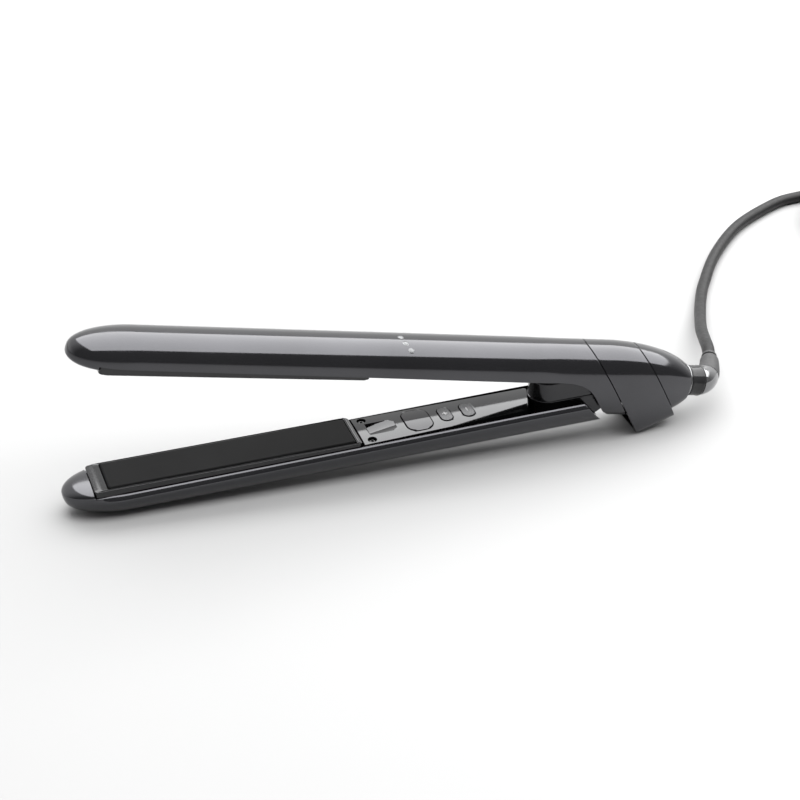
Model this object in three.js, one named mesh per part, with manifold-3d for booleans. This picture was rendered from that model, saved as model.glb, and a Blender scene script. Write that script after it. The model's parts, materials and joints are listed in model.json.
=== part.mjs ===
// A hair straightener lying open: two slim arms joined by a sprung hinge, with floating heated plates,
// push buttons, a swivelling lead and its plug. Millimetres, +Z up, +X from the tips to the hinge.
// The origin is under the middle of the straightener, on the surface that it lies on.

import * as THREE from 'three';
import { mergeVertices } from 'three/addons/utils/BufferGeometryUtils.js';
import Module from 'manifold-3d';

// ---------------------------------------------------------------- driving dimensions

const plateLength = 110;
const plateWidth = 20;
const plateThickness = 2.2;
const plateFace = 0.25;          // closed plates keep twice this between them
const plateFarEnd = -250.2;      // tip end of a plate, from the hinge pin
const plateMiddle = plateFarEnd + plateLength / 2;
const plateNearEnd = plateFarEnd + plateLength;

const armHalfWidth = 13.6;
const armDepth = 16.4;           // from the mating plane to the back
const wall = 1.9;
const tipX = -268.6;
const noseEnd = -256.6;          // where the closed nose becomes an open channel
const noseCurveEnd = -240;       // where the arm reaches its full section
const channelEnd = -46;
const gap = 0.35;                // left between pieces that touch

const openAngle = THREE.MathUtils.degToRad(12.45);
const lieAngle = THREE.MathUtils.degToRad(2.05);   // the collar's heel is lower than the arm's back
const pivotPlace = [117.9, 0, 24.91];

const seamSlope = 1.25;          // fall of the slanted seams per millimetre along the arm
const seamFront = -19.2;         // where each seam crosses the mating plane
const seamRear = 6.6;
const lowerShellSeam = -33.8;
const collarHeel = 26;           // depth of the collar's lowest corner under the pin

const pinRadius = 2.5;
const knuckleHalfWidth = 8.5;
const knuckleFront = -54.8;
const knuckleHeight = 8.2;

const tailEndX = 23.2;
const tailCentreZ = -1.9;
const tailMouthRadius = 7.9;
const swivelCollarRadius = 7.2;
const elbowBend = THREE.MathUtils.degToRad(66);    // from the tail's axis to the lead
const elbowTurn = THREE.MathUtils.degToRad(9);     // how far the elbow has swivelled up from level

const leadDiameter = 6;
const turnPitch = 6.05;          // neighbouring turns of the stored coil, which winds in and out again
const turnsAcross = 4;
const turnLayers = 2;
const coilMeanRadius = 36.3;
const coilHalfBand = turnsAcross / 2 * turnPitch + leadDiameter / 2;
const tieThickness = 0.9;
const plugThickness = 13.6;

// ---------------------------------------------------------------- materials

function material(color, roughness, metalness = 0) {
  return new THREE.MeshStandardMaterial({ color, roughness, metalness });
}

const gunmetal = material(0x4a4b4f, 0.22, 0.35);
const innerGrey = material(0x55565a, 0.28, 0.3);
const darkPlastic = material(0x151516, 0.4);
const glossBlack = material(0x101011, 0.12);
const plateCoat = material(0x1c1c1d, 0.35, 0.4);
const steel = material(0xb5b7ba, 0.3, 1);
const ceramic = material(0xd9d5cb, 0.6);
const silicone = material(0xb04a2e, 0.7);
const boardGreen = material(0x1f5b38, 0.5);
const lampLens = material(0xcfd6dc, 0.15);
const leadSkin = material(0x1d1d1f, 0.6);
const copperLead = material(0x8a2d25, 0.6);

// ---------------------------------------------------------------- solids and booleans

const wasm = await Module();
wasm.setup();

function solid(geometry) {
  const bare = geometry.clone();
  bare.deleteAttribute('normal');
  bare.deleteAttribute('uv');
  const merged = mergeVertices(bare, 1e-4);
  return new wasm.Manifold(new wasm.Mesh({
    numProp: 3,
    vertProperties: new Float32Array(merged.attributes.position.array),
    triVerts: new Uint32Array(merged.index.array),
  }));
}

function geometryOf(body) {
  const mesh = body.getMesh();
  const geometry = new THREE.BufferGeometry();
  geometry.setAttribute('position', new THREE.BufferAttribute(new Float32Array(mesh.vertProperties), 3));
  geometry.setIndex(new THREE.BufferAttribute(new Uint32Array(mesh.triVerts), 1));
  return geometry;
}

function piece(name, body, skin) {
  const mesh = new THREE.Mesh(body.isBufferGeometry ? body : geometryOf(body), skin);
  mesh.name = name;
  return mesh;
}

function boxBetween(low, high) {
  const size = high.map((value, i) => value - low[i]);
  const geometry = new THREE.BoxGeometry(...size);
  geometry.translate(...high.map((value, i) => (value + low[i]) / 2));
  return geometry;
}

function block(low, high) {
  return solid(boxBetween(low, high));
}

// A rod along one axis ('x', 'y' or 'z'), centred on a point.
function rodGeometry(axis, radius, length, centre, sides = 20) {
  const geometry = new THREE.CylinderGeometry(radius, radius, length, sides);
  if (axis === 'x') geometry.rotateZ(Math.PI / 2);
  if (axis === 'z') geometry.rotateX(Math.PI / 2);
  geometry.translate(...centre);
  return geometry;
}

function rod(axis, radius, length, centre, sides) {
  return solid(rodGeometry(axis, radius, length, centre, sides));
}

// An outline in X and Z, extruded across the arm from -halfWidth to halfWidth.
function sidePlate(shape, halfWidth, curveSegments = 10) {
  const geometry = new THREE.ExtrudeGeometry(shape, { depth: 2 * halfWidth, bevelEnabled: false, curveSegments });
  geometry.rotateX(Math.PI / 2);
  geometry.translate(0, halfWidth, 0);
  return solid(geometry);
}

// An outline in X and Y, extruded from one height to another.
function planPlate(shape, fromZ, toZ, curveSegments = 8) {
  const geometry = new THREE.ExtrudeGeometry(shape, { depth: toZ - fromZ, bevelEnabled: false, curveSegments });
  geometry.translate(0, 0, fromZ);
  return solid(geometry);
}

function stadium(halfLength, halfWidth) {
  const straight = halfLength - halfWidth;
  const shape = new THREE.Shape();
  shape.absarc(straight, 0, halfWidth, -Math.PI / 2, Math.PI / 2);
  shape.absarc(-straight, 0, halfWidth, Math.PI / 2, Math.PI * 1.5);
  return shape;
}

function roundedRectangle(halfX, halfY, radius, centreX = 0, centreY = 0) {
  const shape = new THREE.Shape();
  const x = halfX - radius;
  const y = halfY - radius;
  shape.absarc(centreX + x, centreY + y, radius, 0, Math.PI / 2);
  shape.absarc(centreX - x, centreY + y, radius, Math.PI / 2, Math.PI);
  shape.absarc(centreX - x, centreY - y, radius, Math.PI, Math.PI * 1.5);
  shape.absarc(centreX + x, centreY - y, radius, Math.PI * 1.5, Math.PI * 2);
  return shape;
}

// A closed skin through rings of points that share one count; each end is closed by a fan.
function loft(rings) {
  const count = rings[0].length;
  const positions = rings.flat(2);
  const indices = [];
  for (let i = 0; i < rings.length - 1; i += 1) {
    for (let j = 0; j < count; j += 1) {
      const a = i * count + j;
      const b = i * count + (j + 1) % count;
      indices.push(a, b, b + count, a, b + count, a + count);
    }
  }
  for (const end of [0, rings.length - 1]) {
    const middle = positions.length / 3;
    const sum = rings[end].reduce((total, point) => total.map((value, k) => value + point[k]), [0, 0, 0]);
    positions.push(...sum.map((value) => value / count));
    for (let j = 0; j < count; j += 1) {
      const a = end * count + j;
      const b = end * count + (j + 1) % count;
      if (end === 0) indices.push(middle, b, a);
      else indices.push(middle, a, b);
    }
  }
  const geometry = new THREE.BufferGeometry();
  geometry.setAttribute('position', new THREE.BufferAttribute(new Float32Array(positions), 3));
  geometry.setIndex(indices);
  return solid(geometry);
}

// ---------------------------------------------------------------- the arm's section and its envelope

const backRoundness = 2.3;
const bellyRoundness = 3;

function rounded(value, power) {
  return Math.sign(value) * Math.abs(value) ** (2 / power);
}

// A ring across the arm: a rounded back over the widest line, a squarer belly under it.
function sectionRing(x, section, steps = 11) {
  const { width, top, middle, bottom } = section;
  const belly = section.belly ?? bellyRoundness;
  const ring = [];
  for (let i = 0; i <= steps; i += 1) {
    const angle = Math.PI * i / steps;
    const y = width * rounded(Math.cos(angle), backRoundness);
    ring.push([x, y, middle + (top - middle) * Math.sin(angle) ** (2 / backRoundness)]);
  }
  if (bottom === middle) return ring;
  for (let i = 1; i < steps; i += 1) {
    const angle = Math.PI * i / steps;
    const y = -width * rounded(Math.cos(angle), belly);
    ring.push([x, y, middle - (middle - bottom) * Math.sin(angle) ** (2 / belly)]);
  }
  return ring;
}

function between(value, x0, y0, x1, y1) {
  const t = THREE.MathUtils.clamp((value - x0) / (x1 - x0), 0, 1);
  return y0 + (y1 - y0) * t;
}

// Quarter ellipse that rises from 0 at the tip to 1 where the nose ends.
function noseRise(x, power = 2) {
  const t = THREE.MathUtils.clamp((x - tipX) / (noseCurveEnd - tipX), 0, 1);
  return (1 - (1 - t) ** power) ** (1 / power);
}

const noseMiddle = 5.6;

function armSection(x, rim, inset) {
  const rise = noseRise(x);
  return {
    width: Math.max(armHalfWidth * noseRise(x, 2.2) - inset, 0.4),
    top: Math.max(7.4 + (armDepth - 7.4) * rise - inset, noseMiddle + 0.5),
    middle: rim(x),
    bottom: rim(x),
  };
}

function spaced(from, to, count, ease = (t) => t) {
  return Array.from({ length: count + 1 }, (_, i) => from + (to - from) * ease(i / count));
}

// The nose: a closed rounded form whose mating side slopes back to the tip.
function nose(inset) {
  const first = tipX + 0.25 + inset;
  return loft(spaced(first, noseEnd + inset * 0.8, 6, (t) => t * t).map((x) => {
    const t = (x - tipX) / (noseEnd - tipX);
    const slope = (1 - (1 - Math.min(t, 1)) ** 2) ** 0.5;
    const section = armSection(x, () => noseMiddle, inset);
    section.bottom = Math.min(noseMiddle - (noseMiddle - 1.1) * slope + inset, noseMiddle - 0.3);
    section.belly = 2.4;
    return sectionRing(x, section);
  }));
}

function channel(rim, inset, from, to) {
  const stations = from < noseCurveEnd
    ? [...spaced(from, noseCurveEnd, 4), ...spaced(noseCurveEnd, to, 3).slice(1)]
    : spaced(from, to, 3);
  return loft(stations.map((x) => sectionRing(x, armSection(x, rim, inset))));
}

const upperRim = (x) => between(x, -245, 4.6, -60, 2.3);
const lowerRim = (x) => between(x, -245, 3.8, -60, 1.9);

// Keeps the side of a slanted seam that faces the tips (-1) or the tail (+1).
function besideSeam(crossing, side) {
  const reach = 60;
  const shape = new THREE.Shape();
  shape.moveTo(crossing - reach / seamSlope, reach);
  shape.lineTo(crossing + reach / seamSlope, -reach);
  shape.lineTo(crossing + side * 400 + reach / seamSlope, -reach);
  shape.lineTo(crossing + side * 400 - reach / seamSlope, reach);
  return sidePlate(shape, 40);
}

// ---------------------------------------------------------------- tail envelope: cheeks, collar and cap

const domeStart = -20;
const domeReach = 48.5;

function tailTop(x) {
  const t = THREE.MathUtils.clamp((x - domeStart) / domeReach, 0, 1);
  return tailCentreZ + (armDepth - tailCentreZ) * Math.sqrt(1 - t * t);
}

function tailWidth(x) {
  const t = THREE.MathUtils.clamp((x - domeStart) / 56.5, 0, 1);
  return armHalfWidth * Math.sqrt(1 - t * t);
}

function tailSection(x, bottom, inset, belly) {
  return {
    width: tailWidth(x) - inset,
    top: tailTop(x) - inset,
    middle: between(x, 6, 0, tailEndX, tailCentreZ),
    bottom: -bottom(x) + inset,
    belly,
  };
}

const cheekDepth = () => 17.8;
const collarDepth = (x) => between(x, 1.6, collarHeel, 20, 16.9);

function capDepth(x) {
  const t = THREE.MathUtils.clamp((x - 6) / 20.1, 0, 1);
  return 15.6 * Math.sqrt(1 - t * t) - tailCentreZ;
}

function tailForm(depth, inset, from, to, steps, belly) {
  return loft(spaced(from, to, steps).map((x) => sectionRing(x, tailSection(x, depth, inset, belly))));
}

// ---------------------------------------------------------------- upper arm casing

function cheekOutline() {
  const shape = new THREE.Shape();
  shape.moveTo(-62, 30);
  shape.lineTo(-62, 2.3);
  shape.lineTo(-50, 2.3);
  shape.bezierCurveTo(-37, 2.3, -32, 0.8, -26.9, -5.4);
  shape.lineTo(-19.9, -14.1);
  shape.quadraticCurveTo(-18.1, -16.4, -15.1, -16.4);
  shape.lineTo(10, -16.4);
  shape.lineTo(10, 30);
  return shape;
}

const lampPlaces = [[-122.7, 0], [-121.8, 4.7], [-120.1, 8.4]];
const lampRadius = 1.3;

// Height of the back's surface at a distance from the middle.
function backHeight(y, inset = 0) {
  const width = armHalfWidth - inset;
  const rise = (1 - (Math.abs(y) / width) ** backRoundness) ** (1 / backRoundness);
  return 3 + (armDepth - inset - 3) * rise;
}

function upperShell() {
  const cheeks = tailForm(cheekDepth, 0, channelEnd - 10, -4, 6, 3).intersect(sidePlate(cheekOutline(), 40));
  const cheekHollow = tailForm(cheekDepth, wall, channelEnd - 10.5, -3, 6, 3);
  const slot = block([-60, -9.2, -30], [0, 9.2, 0]);
  let shell = nose(0).add(channel(upperRim, 0, noseEnd - 1, channelEnd)).add(cheeks);
  shell = shell.subtract(nose(wall));
  shell = shell.subtract(channel((x) => upperRim(x) - 3, wall, noseEnd + 0.8, channelEnd + 1));
  shell = shell.subtract(cheekHollow).subtract(slot);
  for (const [x, y] of lampPlaces) shell = shell.subtract(rod('z', lampRadius + 0.15, 12, [x, -y, 15], 12));
  return piece('upper_shell', shell.intersect(besideSeam(seamFront - gap / 2, -1)), gunmetal);
}

function hingeCollar() {
  const outer = tailForm(collarDepth, 0, -48, 34, 12, 5.5);
  const inner = tailForm(collarDepth, wall, -48.2, 34.2, 12, 5.5);
  const band = besideSeam(seamFront + gap / 2, 1).intersect(besideSeam(seamRear - gap / 2, -1));
  const tilt = THREE.MathUtils.radToDeg(lieAngle - openAngle);
  const overFloor = block([-100, -40, -pivotPlace[2]], [100, 40, 60]).rotate([0, tilt, 0]);
  return piece('hinge_collar', outer.intersect(band).intersect(overFloor).subtract(inner), gunmetal);
}

function tailCap() {
  const outer = tailForm(capDepth, 0, -16, tailEndX, 10, 3);
  const inner = tailForm(capDepth, wall, -16.2, tailEndX - 2.5, 9, 3);
  const mouth = rod('x', 6.4, 20, [tailEndX, 0, tailCentreZ], 24);
  const cap = outer.subtract(inner).subtract(mouth).intersect(besideSeam(seamRear + gap / 2, 1));
  return piece('tail_cap', cap, gunmetal);
}

// ---------------------------------------------------------------- lower arm casing, modelled back up

function lowerShell() {
  let shell = nose(0).add(channel(lowerRim, 0, noseEnd - 1, -10));
  shell = shell.subtract(nose(wall));
  shell = shell.subtract(channel((x) => lowerRim(x) - 3, wall, noseEnd + 0.8, -9));
  const seam = new THREE.Shape();
  seam.moveTo(-400, -10);
  seam.lineTo(lowerShellSeam - 10 / seamSlope, -10);
  seam.lineTo(lowerShellSeam + 30 / seamSlope, 30);
  seam.lineTo(-400, 30);
  return piece('lower_shell', shell.intersect(sidePlate(seam, 40)), gunmetal);
}

// ---------------------------------------------------------------- plates, carriers and heaters

// The room inside an arm's casing, less a gap, reaching down past the mating plane.
function room(rim, from, to) {
  const lower = block([from, -armHalfWidth + wall + gap, -30], [to, armHalfWidth - wall - gap, 2]);
  return channel((x) => rim(x) - 3, wall + gap, from, to).add(lower);
}

const carrierStart = plateFarEnd - 4.4;
const carrierEnd = plateNearEnd + 2.6;

function plateCarrier(name, rim) {
  const middle = (carrierStart + carrierEnd) / 2;
  const outline = roundedRectangle((carrierEnd - carrierStart) / 2, plateWidth / 2 + 1.25, 1.6, middle);
  let carrier = planPlate(outline, 0.9, 8.6, 3).intersect(room(rim, carrierStart - 1, carrierEnd + 1));
  const pocket = [plateLength / 2 + gap, plateWidth / 2 + gap];
  carrier = carrier.subtract(block([plateMiddle - pocket[0], -pocket[1], 0], [plateMiddle + pocket[0], pocket[1], 7.4]));
  for (const side of [-1, 1]) {
    carrier = carrier.subtract(block([plateMiddle + side * 17 - 13, -6, 7], [plateMiddle + side * 17 + 13, 6, 9]));
  }
  return piece(name, carrier, innerGrey);
}

function heatingPlate(name) {
  const half = plateWidth / 2;
  const edge = 0.8;
  const shape = new THREE.Shape();
  shape.moveTo(-half, plateFace + plateThickness);
  shape.lineTo(-half, plateFace + edge);
  shape.quadraticCurveTo(-half, plateFace, -half + edge, plateFace);
  shape.lineTo(half - edge, plateFace);
  shape.quadraticCurveTo(half, plateFace, half, plateFace + edge);
  shape.lineTo(half, plateFace + plateThickness);
  const geometry = new THREE.ExtrudeGeometry(shape, { depth: plateLength, bevelEnabled: false, curveSegments: 3 });
  geometry.applyMatrix4(new THREE.Matrix4().set(0, 0, 1, plateFarEnd, 1, 0, 0, 0, 0, 1, 0, 0, 0, 0, 0, 1));
  return piece(name, solid(geometry), plateCoat);
}

const heaterTop = plateFace + plateThickness + gap;

function heaterParts(side) {
  const heater = block([plateMiddle - 35, -6, heaterTop], [plateMiddle + 35, 6, heaterTop + 1.4]);
  let clamp = block([plateMiddle - 45, -8, heaterTop + 1.4 + gap], [plateMiddle + 45, 8, heaterTop + 2.4 + gap]);
  for (const end of [-1, 1]) {
    const middle = plateMiddle + end * 41.5;
    clamp = clamp.add(block([middle - 3.5, -8, heaterTop], [middle + 3.5, 8, heaterTop + 2.4 + gap]));
  }
  const clampTop = heaterTop + 2.4 + gap;
  const pads = [-1, 1].map((end) => piece(
    `${side}_float_pad_${end < 0 ? 'tip' : 'hinge'}`,
    block([plateMiddle + end * 43 - 4, -4, clampTop + 0.1], [plateMiddle + end * 43 + 4, 4, 7.3]),
    silicone,
  ));
  return [
    piece(`${side}_ceramic_heater`, heater, ceramic),
    piece(`${side}_heater_clamp`, clamp, steel),
    ...pads,
  ];
}

// ---------------------------------------------------------------- inner covers, buttons and screws

const coverStart = -136.4;
const coverEnd = -55.6;
const coverCorner = 1.8;
const rampStart = -131.9;
const rampEnd = -118.8;
const rampHalfWidth = 4.6;
const screwPlaces = [[-132.2, 8], [-132.2, -8]];
const screwHeadRadius = 1.6;
const screwWellRadius = 2.1;
const powerPlace = -108.6;
const powerHalf = [5.9, 8.2];
const powerCorner = 4.6;
const smallButtonPlaces = { plus: -95.4, minus: -84.9 };
const smallButtonHalf = [5.3, 2.65];

function coverHalfWidth(x) {
  return between(x, coverStart, 10.7, coverEnd, 8.9);
}

// A tapering cover whose face rises towards the hinge; its hinge end has rounded corners.
function coverForm(faceAtStart, faceAtEnd) {
  const plan = new THREE.Shape();
  plan.moveTo(coverStart, -coverHalfWidth(coverStart));
  const corner = coverHalfWidth(coverEnd);
  plan.lineTo(coverEnd - coverCorner, -corner);
  plan.quadraticCurveTo(coverEnd, -corner, coverEnd, -corner + coverCorner);
  plan.lineTo(coverEnd, corner - coverCorner);
  plan.quadraticCurveTo(coverEnd, corner, coverEnd - coverCorner, corner);
  plan.lineTo(coverStart, coverHalfWidth(coverStart));
  const side = new THREE.Shape();
  side.moveTo(coverStart - 1, 5.4);
  side.lineTo(coverStart - 1, faceAtStart);
  side.lineTo(coverEnd + 1, faceAtEnd);
  side.lineTo(coverEnd + 1, 5.4);
  const under = new THREE.Shape();
  under.moveTo(coverStart + 1.6, 6);
  under.lineTo(coverStart + 1.6, faceAtStart + 1.7);
  under.lineTo(coverEnd - 1.6, faceAtEnd + 1.7);
  under.lineTo(coverEnd - 1.6, 6);
  const form = planPlate(plan, -4, 8).intersect(sidePlate(side, 20));
  return form.subtract(sidePlate(under, coverHalfWidth(coverEnd) - 1.8));
}

function upperCover() {
  let cover = coverForm(2.2, 2.2);
  const wedge = new THREE.Shape();
  wedge.moveTo(rampStart + 0.8, 3);
  wedge.lineTo(rampStart + 0.8, -0.9);
  wedge.lineTo(rampStart + 2.4, -0.9);
  wedge.lineTo(rampEnd - 2.2, 3);
  cover = cover.add(sidePlate(wedge, rampHalfWidth - 0.7));
  return piece('upper_inner_cover', cover, innerGrey);
}

const panelFaceStart = 1.9;
const panelFaceEnd = 0.8;

function panelFace(x) {
  return between(x, coverStart, panelFaceStart, coverEnd, panelFaceEnd);
}

function buttonPanel() {
  let panel = coverForm(panelFaceStart, panelFaceEnd);
  const backing = block([rampStart - 1.6, -rampHalfWidth - 1.4, 2.6], [rampEnd + 1.4, rampHalfWidth + 1.4, 5.2]);
  const ramp = new THREE.Shape();
  ramp.moveTo(rampStart, -2);
  ramp.lineTo(rampStart, 4);
  ramp.lineTo(rampEnd, panelFace(rampEnd));
  ramp.lineTo(rampEnd, -2);
  panel = panel.add(backing).subtract(sidePlate(ramp, rampHalfWidth));
  for (const [x, y] of screwPlaces) panel = panel.subtract(rod('z', screwWellRadius, 12, [x, y, 3], 16));
  const well = roundedRectangle(powerHalf[0] + gap, powerHalf[1] + gap, powerCorner + gap, powerPlace);
  panel = panel.subtract(planPlate(well, -3, 8));
  for (const x of Object.values(smallButtonPlaces)) {
    const hole = planPlate(stadium(...smallButtonHalf.map((half) => half + gap)), -3, 8);
    panel = panel.subtract(hole.rotate([0, 0, 90]).translate([x, 0, 0]));
  }
  return piece('button_panel', panel, innerGrey);
}

function buttons() {
  const outline = roundedRectangle(...powerHalf, powerCorner, powerPlace);
  const power = planPlate(outline, panelFace(powerPlace) - 0.5, 3.4);
  const list = [piece('power_button', power, innerGrey)];
  for (const [name, x] of Object.entries(smallButtonPlaces)) {
    const cap = planPlate(stadium(...smallButtonHalf), panelFace(x) - 0.5, 3.4).rotate([0, 0, 90]).translate([x, 0, 0]);
    list.push(piece(`${name}_button`, cap, innerGrey));
  }
  return list;
}

const boardZ = 6.2;

function boardAndSwitches() {
  const board = block([-118, -8, boardZ], [-70, 8, boardZ + 1.2]);
  const list = [piece('control_board', board, boardGreen)];
  const places = { power: powerPlace, ...smallButtonPlaces };
  for (const [name, x] of Object.entries(places)) {
    const body = block([x - 2.2, -2.2, boardZ - 1.6], [x + 2.2, 2.2, boardZ - 0.3]);
    list.push(piece(`${name}_switch`, body, darkPlastic));
  }
  return list;
}

function panelScrews() {
  return screwPlaces.map(([x, y], i) => {
    const head = rod('z', screwHeadRadius, 1.4, [x, y, 2.9], 16);
    const shank = rod('z', 0.8, 5, [x, y, 6], 8);
    const socket = rod('z', 0.6, 1.2, [x, y, 2.2], 6);
    return piece(`panel_screw_${i + 1}`, head.add(shank).subtract(socket), steel);
  });
}

// ---------------------------------------------------------------- hinge

// Side view of the knuckle: a deep tongue that ends in an eye round the pin.
function knuckleOutline() {
  const eye = knuckleHeight;
  const shape = new THREE.Shape();
  shape.moveTo(knuckleFront - 1, -eye);
  shape.lineTo(0, -eye);
  shape.absarc(0, 0, eye, -Math.PI / 2, Math.PI / 2);
  shape.lineTo(-22, eye);
  shape.lineTo(-30, 13);
  shape.lineTo(knuckleFront - 1, 13);
  return shape;
}

// The knuckle is modelled back up with its arm, so its tongue rises towards -Z past the mating plane.
function hingeKnuckle() {
  const plan = new THREE.Shape();
  const centre = knuckleFront + knuckleHalfWidth;
  plan.moveTo(20, -knuckleHalfWidth);
  plan.lineTo(20, knuckleHalfWidth);
  plan.lineTo(centre, knuckleHalfWidth);
  plan.absarc(centre, 0, knuckleHalfWidth, Math.PI / 2, Math.PI * 1.5);
  let knuckle = sidePlate(knuckleOutline(), 12, 16).intersect(planPlate(plan, -20, 20, 14));
  knuckle = knuckle.intersect(room(lowerRim, knuckleFront - 5, 20));
  knuckle = knuckle.subtract(rod('y', pinRadius + gap, 30, [0, 0, 0], 20));
  knuckle = knuckle.subtract(block([-12, -4.4, -12], [12, 4.4, 12]));
  return piece('hinge_knuckle', knuckle, innerGrey);
}

const yokeHalfWidth = 10.1;

function hingeYoke() {
  const earRadius = 6.4;
  const rear = 11.4;
  const shape = new THREE.Shape();
  shape.moveTo(rear, earRadius);
  shape.absarc(0, 0, earRadius, Math.PI / 2, Math.PI * 1.5);
  shape.lineTo(rear, -earRadius);
  const ears = sidePlate(shape, yokeHalfWidth, 12).subtract(block([-20, -8.9, -20], [rear - 2.2, 8.9, 20]))
    .intersect(tailForm(collarDepth, wall + gap, -20, 20, 6, 5.5));
  return piece('hinge_yoke', ears.subtract(rod('y', pinRadius + gap, 30, [0, 0, 0], 20)), steel);
}

function hingePin() {
  return piece('hinge_pin', rod('y', pinRadius, 2 * yokeHalfWidth, [0, 0, 0], 20), steel);
}

// A torsion spring round the pin, with a leg to each arm.
function hingeSpring() {
  const wire = 0.55;
  const radius = 4.1;
  const turns = 3.25;
  const pitch = 1.7;
  const points = [];
  const steps = Math.round(turns * 10);
  const start = -turns * pitch / 2;
  points.push(new THREE.Vector3(-10.5, start, -radius));
  for (let i = 0; i <= steps; i += 1) {
    const angle = -Math.PI / 2 - i / 10 * Math.PI * 2;
    points.push(new THREE.Vector3(radius * Math.cos(angle), start + i / 10 * pitch, radius * Math.sin(angle)));
  }
  const last = points[points.length - 1];
  points.push(new THREE.Vector3(last.x, last.y, last.z + 3.5));
  return piece('hinge_spring', sweptRod(points, wire, 6, 1), steel);
}

function ringSection(radius, sides) {
  const shape = new THREE.Shape();
  for (let i = 0; i < sides; i += 1) {
    const angle = i / sides * Math.PI * 2;
    if (i === 0) shape.moveTo(radius * Math.cos(angle), radius * Math.sin(angle));
    else shape.lineTo(radius * Math.cos(angle), radius * Math.sin(angle));
  }
  shape.closePath();
  return shape;
}

function sweptRod(points, radius, sides, perPoint) {
  const curve = new THREE.CatmullRomCurve3(points, false, 'centripetal');
  return new THREE.ExtrudeGeometry(ringSection(radius, sides), {
    steps: Math.round((points.length - 1) * perPoint), extrudePath: curve, bevelEnabled: false,
  });
}

// ---------------------------------------------------------------- tail fittings and swivel

function lathed(profile, sides, x0 = 0) {
  const points = profile.map(([x, r]) => new THREE.Vector2(r, x + x0));
  const geometry = new THREE.LatheGeometry([...points, points[0]], sides);
  geometry.rotateZ(-Math.PI / 2);
  geometry.translate(0, 0, tailCentreZ);
  return geometry;
}

function tailTrimRing() {
  const profile = [[0, 6.5], [1.2, 6.5], [1.2, 7.7], [0.8, 8.1], [0.2, 8.1], [0, 7.9]];
  return piece('tail_trim_ring', lathed(profile.reverse(), 28, tailEndX + gap), steel);
}

const collarEndX = tailEndX + 8.6;

function swivelCollar() {
  const inside = -6;
  const outside = collarEndX - tailEndX;
  const profile = [
    [inside, 4.9], [outside, 4.9], [outside, 6.9], [outside - 0.4, swivelCollarRadius],
    [1.9, swivelCollarRadius], [1.9, 6.1], [inside, 6.1],
  ];
  return piece('swivel_collar', lathed(profile.reverse(), 28, tailEndX), glossBlack);
}

const elbowCorner = new THREE.Vector3(collarEndX + 6.4, 0, tailCentreZ);
const elbowReach = 15.5;         // from the corner to the middle of the rounded end
const elbowEndRadius = 4.5;
const elbowDirection = new THREE.Vector3(
  Math.cos(elbowBend), Math.sin(elbowBend) * Math.cos(elbowTurn), Math.sin(elbowBend) * Math.sin(elbowTurn),
);
const elbowEnd = elbowCorner.clone().addScaledVector(elbowDirection, elbowReach);

// A tapering bend from the collar's end to the rounded mouth that the lead leaves by.
function elbowBody() {
  const start = new THREE.Vector3(collarEndX + gap, 0, tailCentreZ);
  const path = new THREE.QuadraticBezierCurve3(start, elbowCorner, elbowEnd);
  const side = new THREE.Vector3(1, 0, 0).cross(elbowDirection).normalize();
  return loft(spaced(0, 1, 8).map((t) => {
    const centre = path.getPoint(t);
    const outward = side.clone().cross(path.getTangent(t));
    const radius = THREE.MathUtils.lerp(swivelCollarRadius - 0.3, elbowEndRadius, t);
    return Array.from({ length: 20 }, (_, i) => {
      const angle = i / 20 * Math.PI * 2;
      const point = centre.clone().addScaledVector(outward, radius * Math.cos(angle));
      return point.addScaledVector(side, radius * Math.sin(angle)).toArray();
    });
  }));
}

function swivelElbow() {
  const end = new THREE.SphereGeometry(elbowEndRadius, 20, 12);
  end.translate(...elbowEnd.toArray());
  const mouth = new THREE.CylinderGeometry(3.6, 3.9, 5, 20);
  mouth.translate(0, 2.9, 0);
  mouth.applyQuaternion(new THREE.Quaternion().setFromUnitVectors(new THREE.Vector3(0, 1, 0), elbowDirection));
  mouth.translate(...elbowEnd.toArray());
  const stub = rod('x', 4.5, 22, [collarEndX - 7, 0, tailCentreZ], 20);
  const keeper = rod('x', 5.9, 2, [tailEndX - 8.6, 0, tailCentreZ], 20);
  return piece('swivel_elbow', elbowBody().add(solid(end)).add(solid(mouth)).add(stub).add(keeper), glossBlack);
}

// ---------------------------------------------------------------- small inner pieces

function indicatorLamps() {
  return lampPlaces.map(([x, y], i) => {
    const top = backHeight(y) - 0.15;
    const lens = rod('z', lampRadius, 3.4, [x, -y, top - 1.7], 12);
    return piece(`indicator_light_${i + 1}`, lens, lampLens);
  });
}

function innerParts(side) {
  const sensor = block([plateMiddle - 1.5, 6.4, heaterTop], [plateMiddle + 1.5, 7.6, heaterTop + 1.2]);
  return [piece(`${side}_temperature_sensor`, sensor, ceramic)];
}

function thermalFuse() {
  return piece('thermal_fuse', rod('x', 1.4, 9, [-143, -4, 11.2], 10), steel);
}

function innerLeads(name, y, toX) {
  const points = [[-147, y, 11.6], [-120, y + 1, 12.2], [-90, y, 12], [toX, y, 11.4]]
    .map((place) => new THREE.Vector3(...place));
  return piece(name, sweptRod(points, 0.9, 6, 3), copperLead);
}

function indicatorBoard() {
  return piece('indicator_board', block([-117, -7, 7.2], [-102, 4, 8.2]), boardGreen);
}

// ---------------------------------------------------------------- mains lead

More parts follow.
